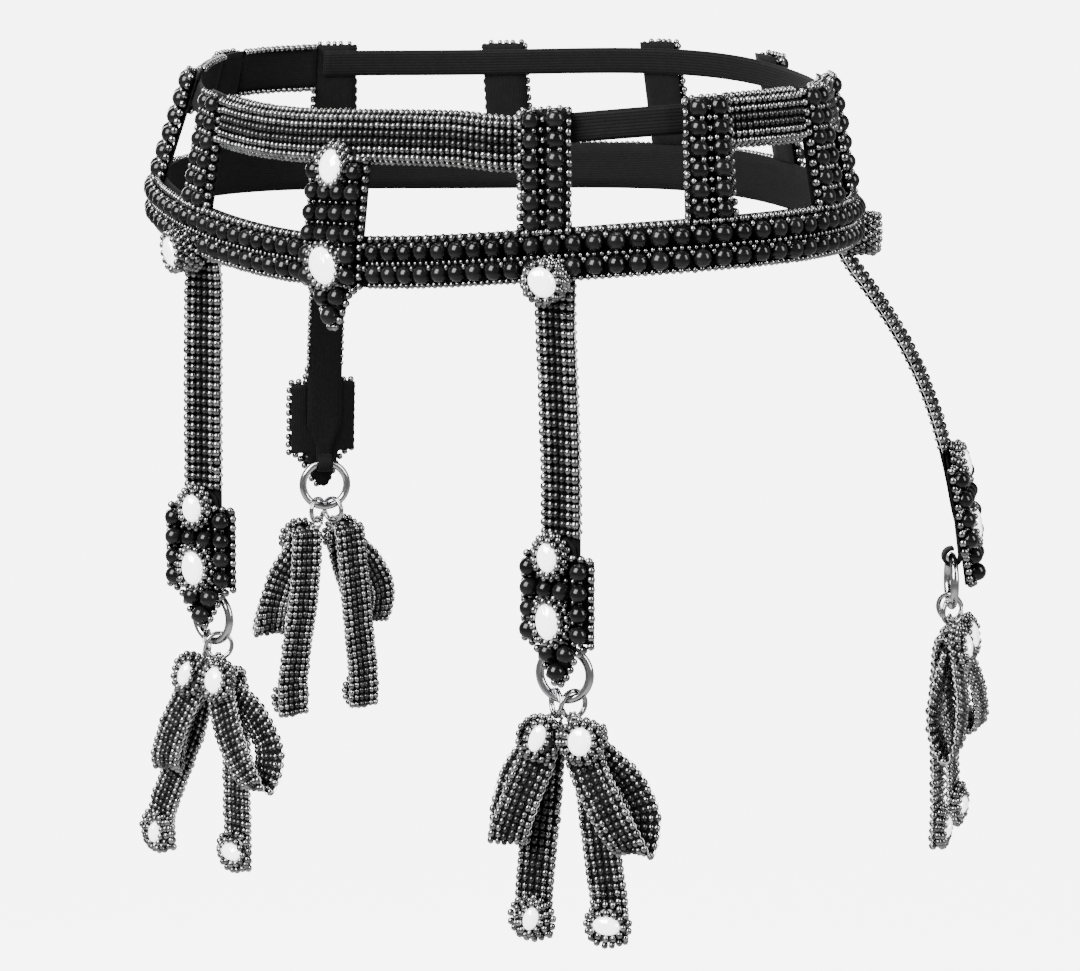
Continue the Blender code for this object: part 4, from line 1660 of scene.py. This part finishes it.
@dataclass(frozen=True)
class Shield:
    """The front tab's and the garter plates' bead face on its ribbon backing."""

    column: float = 7.2 * MM
    row: float = 7.25 * MM
    bead_share: float = 0.93
    bead_shift: float = 0.2 * MM
    tip_shift: float = 0.8 * MM
    tip_share: float = 0.92
    tip_rows: float = 2.02
    seed: float = 1.5 * MM
    seed_step: float = 3.1 * MM
    seed_out: tuple[float, float] = (1.0 * MM, 1.7 * MM)
    seed_mirror: float = 0.7 * MM
    seed_line: tuple[tuple[str, float, float], ...] = (
        ("top", 6.6 * MM, 0.6 * MM),
        ("top", 13.0 * MM, 0.6 * MM),
        ("top", 14.0 * MM, -1.0 * MM),
        ("foot", 14.0 * MM, 0.0),
        ("foot", 12.0 * MM, -1.3 * MM),
        ("foot", 9.6 * MM, -1.6 * MM),
        ("tip", 8.6 * MM, 0.0),
        ("tip", 6.0 * MM, -4.4 * MM),
        ("tip", 4.9 * MM, -7.25 * MM),
        ("tip", 1.8 * MM, -10.85 * MM),
    )
    seam_columns: tuple[float, ...] = (-1.85, -1.45, -1.05, -0.7, -0.3, 0.15, 0.55, 0.95, 1.35)
    seam_seed: float = 1.05 * MM
    backing_half: float = 13.7 * MM
    corner: float = 0.4 * MM
    tip_halves: tuple[float, float, float] = (2.2 * MM, 5.4 * MM, 6.8 * MM)
    crest_halves: tuple[float, float, float] = (6.8 * MM, 6.0 * MM, 3.0 * MM)
    crest_share: float = 0.6
    small_half: tuple[float, float] = (6.4 * MM, 7.6 * MM)
    small_stone: tuple[float, float] = (0.85, 0.82)
    big_half: tuple[float, float] = (7.5 * MM, 8.8 * MM)
    rosette_rise: float = 5.2 * MM

    def build(self, shop: Workshop, place: ShieldPlace) -> None:
        """Build the beads and their backing.

        Args:
            shop: the workshop.
            place: where it is and what it carries.
        """
        piece = SewnMesh()
        self.sew(shop, piece, place)
        item = shop.make(piece, f"{place.node}_beads", "belt", "black_beads")
        mesh, area = self.backing(place)
        shop.sheet(mesh, place.node, place.held, place.rests_on, area)

    def sew(self, shop: Workshop, piece: SewnMesh, place: ShieldPlace) -> None:
        """Sew the beads, seeds and both rosettes.

        Args:
            shop: the workshop.
            piece: the piece that they belong to.
            place: where it is and what it carries.
        """
        work, large = shop.work, shop.sizes.large
        big_top, big_middle, big_low = place.big_rows
        column, row, top, surface = self.column, self.row, place.top, place.surface
        u, v = [], []
        for line in range(big_low):
            columns = (-1.5, 1.5) if line == 0 or line >= big_top else (-1.5, -0.5, 0.5, 1.5)
            u += [column * c * self.bead_share - self.bead_shift for c in columns]
            v += [top - row * (line + 0.5)] * len(columns)
        tip = top - row * (big_low + 0.5)
        u += [-column / 2 + self.tip_shift, column / 2 + self.tip_shift, self.tip_shift]
        v += [tip, tip, tip - row * self.tip_share]
        u, v = np.array(u), np.array(v)
        work.beads(piece, surface, u, v, place.face + large, large, Look.LARGE)
        u, v = self.edge_seeds({"top": top, "foot": top - row * big_low, "tip": tip})
        inner, outer = self.seed_out
        level = place.face + np.where(u > 0, outer, inner)
        work.beads(piece, surface, u, v, level, self.seed, Look.STEEL_SEED)
        across, along = column * np.array(self.seam_columns), top - row * np.arange(1, big_low + 1)
        seed = (place.face + outer, self.seam_seed, Look.STEEL_SEED)
        work.grid(piece, surface, across, along, *seed)
        stone = tuple(share * size for share, size in zip(self.small_stone, place.stone))
        small = Rosette(self.small_half, stone, self.rosette_rise)
        big = Rosette(self.big_half, place.stone, self.rosette_rise, place.stone_tilt)
        middle = top - row * big_middle
        small.sew(work, piece, surface, place.stone_shift, place.small_at, place.face)
        big.sew(work, piece, surface, place.stone_shift, middle, place.face)

    def edge_seeds(self, levels: dict[str, float]) -> tuple[Array, Array]:
        """Where the seeds along the outline sit: evenly along one side, then mirrored.

        Args:
            levels: the upper edge, the foot of the wide part and the tip's first row.

        Returns:
            Places across and along.
        """
        line = np.array([(across, levels[key] + along) for key, across, along in self.seed_line])
        run = run_length(line)
        at = np.linspace(0.0, run[-1], int(run[-1] / self.seed_step))
        u, v = (np.interp(at, run, line[:, axis]) for axis in (0, 1))
        return np.concatenate((u, self.seed_mirror - u)), np.concatenate((v, v))

    def backing(self, place: ShieldPlace) -> tuple[SewnMesh, float]:
        """The ribbon backing: a wide part, a stepped tip under it and a crest over it.

        Args:
            place: where it is.

        Returns:
            Its mesh and its flat area.
        """
        top, rise = place.top, place.rise
        foot = top - self.row * place.big_rows[2]
        levels = (
            foot - 2.0 * self.row,
            foot - self.row,
            foot - self.corner,
            foot,
            top,
            top + self.corner,
            top + self.crest_share * rise,
            top + rise,
        )
        halves = (*self.tip_halves, self.backing_half, self.backing_half, *self.crest_halves)
        v = np.unique(np.concatenate((levels, np.linspace(levels[0], levels[-1], 24))))
        half = np.interp(v, levels, halves)
        area = float(np.sum((half[1:] + half[:-1]) * np.diff(v)))

        def half_width(along: Array) -> Array:
            """Half the backing's width, straight between its named levels."""
            return np.interp(along, levels, halves)

        return ribbon_shell(place.surface, half_width, v, 6, place.face, place.back), area


@dataclass(frozen=True)
class FrontTab:
    """The pointed tab at the front centre."""

    index: float = 0.2
    out: float = 2.7 * MM
    top: float = 31.6 * MM
    rise: float = 4.8 * MM
    small_at: float = 30.0 * MM
    big_rows: tuple[int, int, int] = (4, 5, 6)
    stone: tuple[float, float] = (5.9 * MM, 7.1 * MM)
    stone_tilt: float = math.radians(46.0)
    stone_shift: float = -0.8 * MM

    def build(self, shop: Workshop, shield: Shield) -> None:
        """Build the tab.

        Args:
            shop: the workshop.
            shield: the tab's sizes.
        """
        place = ShieldPlace(
            node="front_tab",
            surface=shop.belt.panel(self.index, self.out),
            top=self.top,
            rise=self.rise,
            small_at=self.small_at,
            big_rows=self.big_rows,
            face=shop.sizes.ribbon_face,
            back=shop.sizes.ribbon_back,
            stone=self.stone,
            stone_tilt=self.stone_tilt,
            stone_shift=self.stone_shift,
            held="laid",
            rests_on=["lower_band_front", "upper_band_front_right"],
        )
        shield.build(shop, place)
        LOG.info("front tab built")


@dataclass(frozen=True)
class BowPlace:
    """How one bow hangs on its ring: its side, its drift, its loop's width and its distance."""

    letter: str
    side: int
    drift: float
    spread: float
    apart: float = 0.0


@dataclass(frozen=True)
class Bow:
    """A folded bead strip with a loop, a head rosette, a tail and an end rosette."""

    path: tuple[tuple[float, float, float, float], ...] = (
        (2.0, 0.0, -19.0, 0.0),
        (9.8, -0.8, -27.5, 0.0),
        (14.6, -0.6, -39.5, 0.0),
        (14.2, 3.4, -51.0, 0.0),
        (12.0, 7.4, -47.0, 0.0),
        (6.4, 7.6, -34.0, 0.0),
        (1.2, 4.6, -21.5, 0.0),
        (0.0, 2.6, -12.4, 0.0),
        (0.0, 0.0, -10.0, 0.0),
        (0.0, -2.6, -12.6, 0.0),
        (0.0, -3.0, -35.0, 0.3),
        (0.0, -1.6, -56.0, 0.7),
        (0.0, -1.0, -72.0, 1.0),
        (0.0, -1.0, -86.5, 1.0),
    )
    head: int = 6
    end: int = 12
    steps: int = 16
    window: int = 9
    centre: float = 7.7 * MM
    split_side: float = 3.2 * MM
    columns: int = 6
    column_pitch: float = 2.3 * MM
    row_pitch: float = 2.72 * MM
    seed: float = 1.56 * MM
    squash: float = 0.8
    wobble: float = 0.14 * MM
    head_lift: float = 3.0 * MM
    head_half: tuple[float, float] = (7.1 * MM, 7.4 * MM)
    head_stones: tuple[tuple[float, float], ...] = ((2.8 * MM, 4.8 * MM), (4.2 * MM, 4.9 * MM))
    head_rise: float = 4.3 * MM
    head_tilt: float = math.radians(-14.0)
    end_half: tuple[float, float] = (7.8 * MM, 7.3 * MM)
    end_stones: tuple[tuple[float, float], ...] = ((2.7 * MM, 4.3 * MM), (5.0 * MM, 3.3 * MM))
    end_rise: float = 3.6 * MM
    end_tilts: tuple[float, float] = (math.radians(-20.0), 0.0)
    core_half: float = 6.2 * MM
    core_level: float = 0.3 * MM
    core_end: float = 0.4 * MM
    core_stops: int = 120
    thread_in: float = 0.1 * MM
    thread_wave: tuple[float, float] = (0.25 * MM, 0.45 * MM)
    eye_drop: float = 7.2 * MM
    eye_radius: float = 2.1 * MM
    eye_beads: int = 9
    eye_seed: float = 0.8 * MM
    eye_wobble: float = 0.03 * MM

    def curve(self, place: BowPlace) -> Array:
        """The strip's line, a cubic through its named places that keeps their directions.

        Args:
            place: how the bow hangs.

        Returns:
            Points as sideways, outward and up.
        """
        head = place.side * (self.centre - self.split_side + place.apart)
        keys = np.array(
            [
                (head + place.side * x * place.spread * MM + share * place.drift, y * MM, z * MM)
                for x, y, z, share in self.path
            ]
        )
        padded = np.vstack((2 * keys[0] - keys[1], keys, 2 * keys[-1] - keys[-2]))
        share = np.linspace(0.0, 1.0, self.steps, endpoint=False)[:, None]
        parts = []
        for first in range(len(padded) - 3):
            before, start, stop, after = padded[first : first + 4]
            bend = 2 * before - 5 * start + 4 * stop - after
            swing = 3 * start - before - 3 * stop + after
            line = 2 * start + (stop - before) * share + bend * share**2 + swing * share**3
            parts.append(0.5 * line)
        return np.vstack((*parts, keys[-1:]))

    def build(
        self,
        shop: Workshop,
        name: str,
        body: str,
        pivot: Array,
        ways: tuple[Array, Array],
        place: BowPlace,
    ) -> None:
        """Build one bow.

        Args:
            shop: the workshop.
            name: the node that it stands for.
            body: the body that it rides on.
            pivot: where it hangs.
            ways: the level directions across and away from the belt.
            place: how it hangs.
        """
        sideways, outward = ways
        world = pivot + self.curve(place) @ np.stack((sideways, outward, UP))
        run = run_length(world)
        ahead = unit(np.gradient(world, run, axis=0))
        window = np.ones(self.window) / self.window
        smooth = np.array([np.convolve(ahead[:, axis], window, "same") for axis in range(3)]).T
        inside = np.arange(len(run)) > self.window // 2
        ahead = unit(np.where(inside[:, None], smooth, ahead))
        across = unit(sideways - ahead * (ahead @ sideways)[:, None])
        normal = np.cross(across, ahead)

        def look_up(values: Array, at: Array) -> Array:
            """Read rows of values at lengths down the strip."""
            return np.stack([np.interp(at, run, values[:, axis]) for axis in range(3)], axis=-1)

        def surface(u: Array, v: Array, out: Array) -> Array:
            """The strip's surface: its line, moved across and outward."""
            u, v, out = np.broadcast_arrays(u, v, out)
            return (
                look_up(world, v)
                + look_up(across, v) * u[..., None]
                + look_up(normal, v) * out[..., None]
            )

        piece, work = SewnMesh(), shop.work
        rows = int(run[-1] / self.row_pitch)
        along = (np.arange(rows) + 0.5) / rows * run[-1]
        places = (np.arange(self.columns) - (self.columns - 1) / 2) * self.column_pitch
        for column, at in enumerate(places):
            look = Look.BLACK_SEED if column in (2, 3) else Look.STEEL_SEED
            row = (at, along, 0.0, self.seed, look, self.squash, self.wobble)
            work.beads(piece, surface, *row)
        self.edges(work, piece, surface, run[-1], rows)
        head_at = (run[self.head * self.steps] + run[(self.head + 1) * self.steps]) / 2
        origin, wide, long, face = (
            look_up(values, np.array(head_at)) for values in (world, across, ahead, normal)
        )

        def flat(u: Array, v: Array, out: Array) -> Array:
            """The flat surface that touches the strip at its head."""
            u, v, out = (values[..., None] for values in np.broadcast_arrays(u, v, out))
            return origin + wide * u + long * v + face * out

        number = 0 if place.side < 0 else 1
        head = Rosette(self.head_half, self.head_stones[number], self.head_rise, self.head_tilt)
        head.sew(work, piece, flat, 0.0, self.head_lift, 0.0)
        end_at = (run[self.end * self.steps] + run[-1]) / 2

        def rear(u: Array, v: Array, out: Array) -> Array:
            """The strip's other face, turned end for end."""
            return surface(np.asarray(u), 2 * end_at - np.asarray(v), -np.asarray(out))

        tilt = self.end_tilts[number]
        end = Rosette(self.end_half, self.end_stones[number], self.end_rise, tilt)
        end.sew(work, piece, rear, 0.0, end_at, 0.0)
        self.eye(work, piece, pivot, ways)
        item = shop.make(piece, f"{name}_beads", body, "gunmetal_beads")
        stops = np.linspace(self.core_end, run[-1] - self.core_end, self.core_stops)
        level = self.core_level
        mesh = ribbon_shell(surface, self.core_half, stops, 4, level, -level)
        holder = [name.replace("bow_", "split_ring_", 1) + "_wire"]
        shop.sheet(mesh, name, "hung", holder, kind="core", body=body)

    def edges(
        self, work: Beadwork, piece: SewnMesh, surface: Surface, length: float, rows: int
    ) -> None:
        """Lay the thread that winds along both edges: a sine across and a cosine outward.

        Args:
            work: the beadwork.
            piece: the piece that it belongs to.
            surface: the strip's surface.
            length: the strip's length.
            rows: its bead rows.
        """
        count = rows * 4
        v = np.linspace(0.0, length, count)
        angle = np.arange(count) * math.pi / 2
        wide, high = self.thread_wave
        half = self.columns / 2 * self.column_pitch - self.thread_in
        for side in (-1.0, 1.0):
            u = side * (half + wide * np.sin(angle))
            work.thread(piece, surface, u, v, high * np.cos(angle))

    def eye(
        self, work: Beadwork, piece: SewnMesh, pivot: Array, ways: tuple[Array, Array]
    ) -> None:
        """Sew the ring of beads that the split ring goes through.

        Args:
            work: the beadwork.
            piece: the piece that it belongs to.
            pivot: where the bow hangs.
            ways: the level directions across and away from the belt.
        """
        centre = pivot - UP * self.eye_drop
        sideways, outward = ways

        def plane(u: Array, v: Array, out: Array) -> Array:
            """The upright plane through the eye."""
            u, v, out = (values[..., None] for values in np.broadcast_arrays(u, v, out))
            return centre + u * sideways + v * UP + out * outward

        turn = 2 * math.pi * np.arange(self.eye_beads) / self.eye_beads
        u, v = self.eye_radius * np.cos(turn), self.eye_radius * np.sin(turn)
        seed = (self.eye_seed, Look.STEEL_SEED)
        work.beads(piece, plane, u, v, 0.0, *seed, wobble=self.eye_wobble)


def spokes(turn: Array, axis: Array) -> Array:
    """Directions from a ring's middle, in the upright plane across its axis."""
    return np.cos(turn)[:, None] * np.cross(axis, UP) + np.sin(turn)[:, None] * UP


@dataclass(frozen=True)
class Garter:
    """One garter: strap, plate, rosette, ring, split rings and bows."""

    name: str
    index: float
    flare: float
    drift: float
    foot_turn: float
    loop_turn: float
    stone_shift: float
    bows: tuple[BowPlace, ...]
    bow_turn: float = 0.0
    strap_half: float = 7.3 * MM
    beads_from: float = 13.3 * MM
    columns: int = 6
    column_pitch: float = 2.46 * MM
    row_pitch: float = 3.0 * MM
    bead_out: float = 0.95 * MM
    inner_seed: float = 1.48 * MM
    outer_seed: float = 1.64 * MM
    rim_in: float = 0.1 * MM
    rim_shift: float = 0.7 * MM
    rim_out: float = -0.5 * MM
    rim_seed: float = 0.85 * MM
    thread_at: float = 0.35 * MM
    thread_wave: float = 0.3 * MM
    thread_turn: float = 2.1
    thread_level: float = 0.3 * MM
    thick: float = 1.2 * MM
    strap_top: float = 2.0 * MM
    strap_stops: tuple[int, int] = (90, 30)
    loop_half: float = 3.0 * MM
    taper: tuple[float, float] = (124.0 * MM, 134.0 * MM)
    loop_end: float = 285.0
    plate_top: float = 107.3 * MM
    plate_rise: float = 7.0 * MM
    plate_levels: tuple[float, float] = (1.5 * MM, 0.3 * MM)
    plate_small: float = 0.6 * MM
    plate_stone: tuple[float, float] = (4.5 * MM, 6.2 * MM)
    plate_tilt: float = 0.05
    rosette_place: tuple[float, float] = (3.7 * MM, -11.5 * MM)
    rosette_half: tuple[float, float] = (6.5 * MM, 6.9 * MM)
    rosette_stone: tuple[float, float] = (4.2 * MM, 5.5 * MM)
    rosette_rise: float = 5.3 * MM
    rosette_tilt: float = math.radians(32.0)
    rosette_sunk: float = 6.5 * MM
    ring_radius: float = 9.0 * MM
    ring_wire: float = 1.5 * MM
    ring_corners: tuple[int, int] = (72, 18)
    split_radius: float = 4.75 * MM
    split_rise: float = 2.7 * MM
    split_turn: float = 38.0
    split_open: float = 0.25
    split_ease: float = 0.5
    split_step: float = 0.86 * MM
    split_wire: tuple[float, float] = (0.72 * MM, 0.54 * MM)
    split_corners: tuple[int, int] = (140, 10)

    def build(self, shop: Workshop, bow: Bow, shield: Shield) -> None:
        """Build the garter.

        Args:
            shop: the workshop.
            bow: the bows' sizes.
            shield: the plate's sizes.
        """
        place = (shop.belt, self.index, self.flare, self.drift, self.foot_turn)
        line = GarterLine(*place, self.loop_turn)
        self.strap(shop, line)
        self.plate(shop, GarterLine(*place, self.foot_turn), shield)
        self.top_rosette(shop)
        axis, sideways, outward = line.hinge()
        centre = axis - UP * self.ring_radius
        self.ring(shop, centre, outward)
        turned = Matrix.Rotation(math.radians(self.bow_turn), 3, "Z")
        ways = tuple(np.array(turned @ Vector(way)) for way in (sideways, outward))
        for hung in self.bows:
            pivot = centre + sideways * (hung.side * bow.split_side)
            pivot = pivot - UP * math.sqrt(self.ring_radius**2 - bow.split_side**2)
            body = f"hanging_bow_{self.name}_{hung.letter}"
            middle = pivot + UP * (self.split_rise - self.split_radius)
            turn = math.radians(self.split_turn) * hung.side
            through = sideways * math.cos(turn) + outward * math.sin(turn)
            self.split_ring(shop, f"split_ring_{self.name}_{hung.letter}", body, middle, through)
            bow.build(shop, f"bow_{self.name}_{hung.letter}", body, pivot, ways, hung)
        LOG.info("garter %s built", self.name)

    def strap(self, shop: Workshop, line: GarterLine) -> None:
        """Build the strap with its loop.

        Args:
            shop: the workshop.
            line: the line that it hangs on.
        """
        work, piece, surface = shop.work, SewnMesh(), line.surface
        last = self.plate_top - self.plate_rise
        rows = int((last - self.beads_from) / self.row_pitch)
        along = -(self.beads_from + (np.arange(rows) + 0.5) / rows * (last - self.beads_from))
        for column in range(self.columns):
            place = (column - (self.columns - 1) / 2) * self.column_pitch
            inner = column in (2, 3)
            look = Look.BLACK_SEED if inner else Look.STEEL_SEED
            radius = self.inner_seed if inner else self.outer_seed
            work.beads(piece, surface, place, along, self.bead_out, radius, look)
        v = np.linspace(-self.beads_from, -last, rows * 3)
        wave = self.thread_wave * np.sin(np.arange(len(v)) * self.thread_turn)
        seed = (along + self.rim_shift, self.rim_out, self.rim_seed, Look.STEEL_SEED)
        for side in (-1.0, 1.0):
            work.beads(piece, surface, side * (self.strap_half - self.rim_in), *seed)
            u = side * (self.strap_half + self.thread_at + wave)
            work.thread(piece, surface, u, v, np.full(len(v), self.thread_level))
        item = shop.make(piece, f"strap_{self.name}_beads", "belt", "gunmetal_beads")
        end = line.loop_axis + math.radians(self.loop_end) * line.loop_radius
        hanging = np.linspace(self.strap_top, line.loop_axis, self.strap_stops[0])
        looped = np.linspace(line.loop_axis, end, self.strap_stops[1])[1:]
        stops = -np.concatenate((hanging, looped))[::-1]

        def half_width(v: Array) -> Array:
            """Half the strap's width, tapered straight to its loop."""
            share = np.clip((-v - self.taper[0]) / (self.taper[1] - self.taper[0]), 0.0, 1.0)
            return self.strap_half + (self.loop_half - self.strap_half) * share

        mesh = ribbon_shell(surface, half_width, stops, 6, 0.0, -self.thick)
        widths = 2 * half_width(stops)
        area = float(np.sum((widths[1:] + widths[:-1]) / 2 * np.diff(stops)))
        holder = ["lower_band_front" if self.name.startswith("front") else "lower_band_back"]
        shop.sheet(mesh, f"strap_{self.name}", "hung", holder, area)

    def plate(self, shop: Workshop, line: GarterLine, shield: Shield) -> None:
        """Build the bead plate.

        Args:
            shop: the workshop.
            line: the line that it hangs on.
            shield: the plate's sizes.
        """
        place = ShieldPlace(
            node=f"plate_{self.name}",
            surface=line.flat_plate,
            top=-self.plate_top,
            rise=self.plate_rise,
            small_at=self.plate_small - self.plate_top,
            big_rows=(2, 3, 4),
            face=self.plate_levels[0],
            back=self.plate_levels[1],
            stone=self.plate_stone,
            stone_tilt=self.plate_tilt,
            stone_shift=self.stone_shift,
            held="hung",
            rests_on=[f"strap_{self.name}_ribbon"],
        )
        shield.build(shop, place)

    def top_rosette(self, shop: Workshop) -> None:
        """Build the rosette where the strap meets the lower band.

        Args:
            shop: the workshop.
        """
        piece, name = SewnMesh(), f"strap_rosette_{self.name}"
        surface = shop.belt.panel(self.index, *self.rosette_place)
        stone, rise, tilt = self.rosette_stone, self.rosette_rise, self.rosette_tilt
        rosette = Rosette(self.rosette_half, stone, rise, tilt, sunk=self.rosette_sunk)
        rosette.sew(shop.work, piece, surface, 0.0, 0.0, 0.0)
        shop.make(piece, f"{name}_beads", "belt", "gunmetal_beads", [name])

    def ring(self, shop: Workshop, centre: Array, axis: Array) -> None:
        """Build the large wire ring.

        Args:
            shop: the workshop.
            centre: its middle.
            axis: the direction through it.
        """
        round_it, section = self.ring_corners
        spoke = spokes(2 * math.pi * np.arange(round_it) / round_it, axis)
        piece, wire, name = SewnMesh(), self.ring_wire, f"ring_{self.name}"
        tube(piece, centre + spoke * self.ring_radius, spoke, wire, wire, section, 0, closed=True)
        body, steel = f"swing_ring_{self.name}", shop.palette.wire
        shop.make(piece, f"{name}_wire", body, "polished_steel", [name], steel)

    def split_ring(self, shop: Workshop, name: str, body: str, centre: Array, axis: Array) -> None:
        """Build a split ring: two turns of wire, the second one eased to the first one's side.

        Args:
            shop: the workshop.
            name: the node that it stands for.
            body: the body that it rides on.
            centre: its middle.
            axis: the direction through it.
        """
        once = 2 * math.pi
        along_it, section = self.split_corners
        turn = np.linspace(self.split_open, 2 * once - self.split_open, along_it)
        spoke = spokes(turn, axis)
        share = ease((turn - once + self.split_ease) / (2 * self.split_ease))
        along = (share - 0.5) * self.split_step
        path = centre + spoke * self.split_radius + along[:, None] * axis
        piece = SewnMesh()
        tube(piece, path, spoke, *self.split_wire, section, 0, closed=False)
        shop.make(piece, f"{name}_wire", body, "polished_steel", [name], shop.palette.wire)


@dataclass(frozen=True)
class Lamp:
    """A soft box: how far right, up and back it stands, its distance, its size and its glow."""

    name: str
    direction: tuple[float, float, float]
    distance: float
    size: tuple[float, float]
    glow: float


@dataclass(frozen=True)
class Studio:
    """Camera, lights and floor."""

    azimuth: float = 47.2175
    elevation: float = 10.8574
    roll: float = -0.0984
    distance: float = 1.5836
    film: float = 36.0
    lens_px: float = 4326.5938
    picture_px: float = 1080.0
    clip: tuple[float, float] = (0.05, 100.0)
    aim: tuple[float, float] = (0.0089, -0.1065)
    lamp_target: tuple[float, float, float] = (0.0, 0.0, -0.08)
    floor_drop: float = 0.55
    floor_half: float = 30.0
    floor_glow: float = 0.25
    floor_tone: float = 0.3
    backdrop: float = 6.3
    horizon: float = 0.4
    zenith: float = 0.06
    zenith_at: float = 0.7
    lamps: tuple[Lamp, ...] = (
        Lamp("key", (-0.7, 0.62, 0.85), 1.4, (0.95, 1.2), 22.0),
        Lamp("side", (1.0, 0.4, 0.6), 1.5, (0.5, 1.1), 14.0),
        Lamp("top", (0.0, 1.0, 0.1), 1.3, (0.5, 0.5), 10.0),
        Lamp("rear", (-0.3, 0.45, -1.0), 1.7, (0.9, 1.1), 8.0),
    )

    def axes(self) -> tuple[Array, Array, Array]:
        """The camera's directions.

        Returns:
            Backward, right and up.
        """
        a, e = math.radians(self.azimuth), math.radians(self.elevation)
        back = np.array([math.sin(a) * math.cos(e), -math.cos(a) * math.cos(e), math.sin(e)])
        right = np.array([math.cos(a), math.sin(a), 0.0])
        return back, right, np.cross(back, right)

    def camera(self) -> None:
        """Set the camera at the photograph's angle."""
        back, right, up = self.axes()
        place = self.aim[0] * right + self.aim[1] * up + self.distance * back
        data = bpy.data.cameras.new("view")
        data.sensor_width = self.film
        data.lens = self.film * self.lens_px / self.picture_px
        data.clip_start, data.clip_end = self.clip
        item = stand("view", data)
        roll = Matrix.Rotation(math.radians(self.roll), 3, "Z")
        turn = Matrix((right, up, back)).transposed() @ roll
        item.matrix_world = Matrix.Translation(Vector(place)) @ turn.to_4x4()
        bpy.context.scene.camera = item

    def light(self, lamp: Lamp) -> None:
        """Add a soft box that faces the belt.

        Args:
            lamp: the soft box.
        """
        axes = zip(lamp.direction, np.roll(self.axes(), -1, axis=0))
        away = unit(sum(share * axis for share, axis in axes))
        data = bpy.data.lights.new(lamp.name, "AREA")
        data.shape = "RECTANGLE"
        data.size, data.size_y = lamp.size
        data.energy = lamp.glow * math.pi * lamp.size[0] * lamp.size[1]
        item = stand(lamp.name, data)
        item.location = Vector(self.lamp_target + away * lamp.distance)
        item.rotation_mode = "QUATERNION"
        item.rotation_quaternion = Vector(-away).to_track_quat("-Z", "Y")

    def brighter(self, graph: Graph, glow: object) -> NodeSocket:
        """Add the backdrop's glow for the camera alone, so that it lights nothing."""
        seen = graph.node("ShaderNodeLightPath").outputs["Is Camera Ray"]
        return graph.math("ADD", graph.math("MULTIPLY", seen, self.backdrop), glow)

    def floor(self, low: float) -> None:
        """Lay the pale floor.

        Args:
            low: the object's lowest point.
        """
        half = self.floor_half
        mesh = bpy.data.meshes.new("floor")
        corners = [(-half, -half, 0), (half, -half, 0), (half, half, 0), (-half, half, 0)]
        mesh.from_pydata(corners, [], [(0, 1, 2, 3)])
        material, graph, shader = Finish("pale_floor", (self.floor_tone,) * 3, 0.8).start()
        glow = self.brighter(graph, self.floor_glow)
        graph.feed(shader, {"Emission Color": (1.0,) * 4, "Emission Strength": glow})
        mesh.materials.append(material)
        item = stand("floor", mesh)
        item.location = (0.0, 0.0, low - self.floor_drop)
        item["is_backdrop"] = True

    def build(self, low: float) -> None:
        """Set up the studio.

        Args:
            low: the object's lowest point.
        """
        self.camera()
        self.floor(low)
        world = bpy.data.worlds.new("studio")
        world.use_nodes = True
        graph = Graph(world.node_tree)
        heights = graph.node("ShaderNodeTexCoord").outputs["Generated"]
        parts = graph.node("ShaderNodeSeparateXYZ", {0: heights})
        stops = ((0.0, (self.horizon,) * 3), (self.zenith_at, (self.zenith,) * 3))
        sky = self.brighter(graph, graph.ramp(parts.outputs[2], stops))
        graph.feed(world.node_tree.nodes["Background"], {0: sky})
        bpy.context.scene.world = world
        for lamp in self.lamps:
            self.light(lamp)


class BeadedBelt:
    """The whole belt."""

    def __init__(self) -> None:
        """Set out the workshop and the four garters."""
        self.shop = Workshop(BeltLine(), Beadwork(), Palette(), BeadSizes())
        rear = (
            BowPlace("a", -1, drift=-6.5 * MM, spread=1.05, apart=2.0 * MM),
            BowPlace("b", 1, drift=6.5 * MM, spread=1.05, apart=2.0 * MM),
        )
        self.garters = (
            Garter(
                "front_right",
                index=-12.0,
                flare=2.0 * MM,
                drift=0.0,
                foot_turn=34.0,
                loop_turn=18.0,
                stone_shift=-1.4 * MM,
                bows=(
                    BowPlace("a", -1, drift=-23.0 * MM, spread=0.95),
                    BowPlace("b", 1, drift=3.0 * MM, spread=1.45),
                ),
            ),
            Garter(
                "front_left",
                index=12.75,
                flare=2.0 * MM,
                drift=3.0 * MM,
                foot_turn=-14.0,
                loop_turn=0.0,
                stone_shift=-1.8 * MM,
                bows=(
                    BowPlace("a", -1, drift=-4.0 * MM, spread=0.85),
                    BowPlace("b", 1, drift=8.0 * MM, spread=1.35),
                ),
            ),
            Garter(
                "rear_left",
                index=36.4,
                flare=52.0 * MM,
                drift=0.0,
                foot_turn=-14.0,
                loop_turn=0.0,
                stone_shift=0.0,
                bows=rear,
                bow_turn=-23.0,
            ),
            Garter(
                "rear_right",
                index=-36.0,
                flare=52.0 * MM,
                drift=0.0,
                foot_turn=14.0,
                loop_turn=0.0,
                stone_shift=0.0,
                bows=rear,
                bow_turn=23.0,
            ),
        )

    def build(self) -> None:
        """Build every sub-assembly in order."""
        posts, bow, shield = Posts(), Bow(), Shield()
        LowerBand().build(self.shop)
        posts.build(self.shop)
        UpperBand().build(self.shop, posts)
        FrontTab().build(self.shop, shield)
        for garter in self.garters:
            garter.build(self.shop, bow, shield)


def main() -> None:
    """Load the frame, build the belt and the studio, and finish."""
    logging.basicConfig(level=logging.INFO, format="%(message)s")
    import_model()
    BeadedBelt().build()
    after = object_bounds()
    Studio().build(after[0].z)


if __name__ == "__main__":
    main()
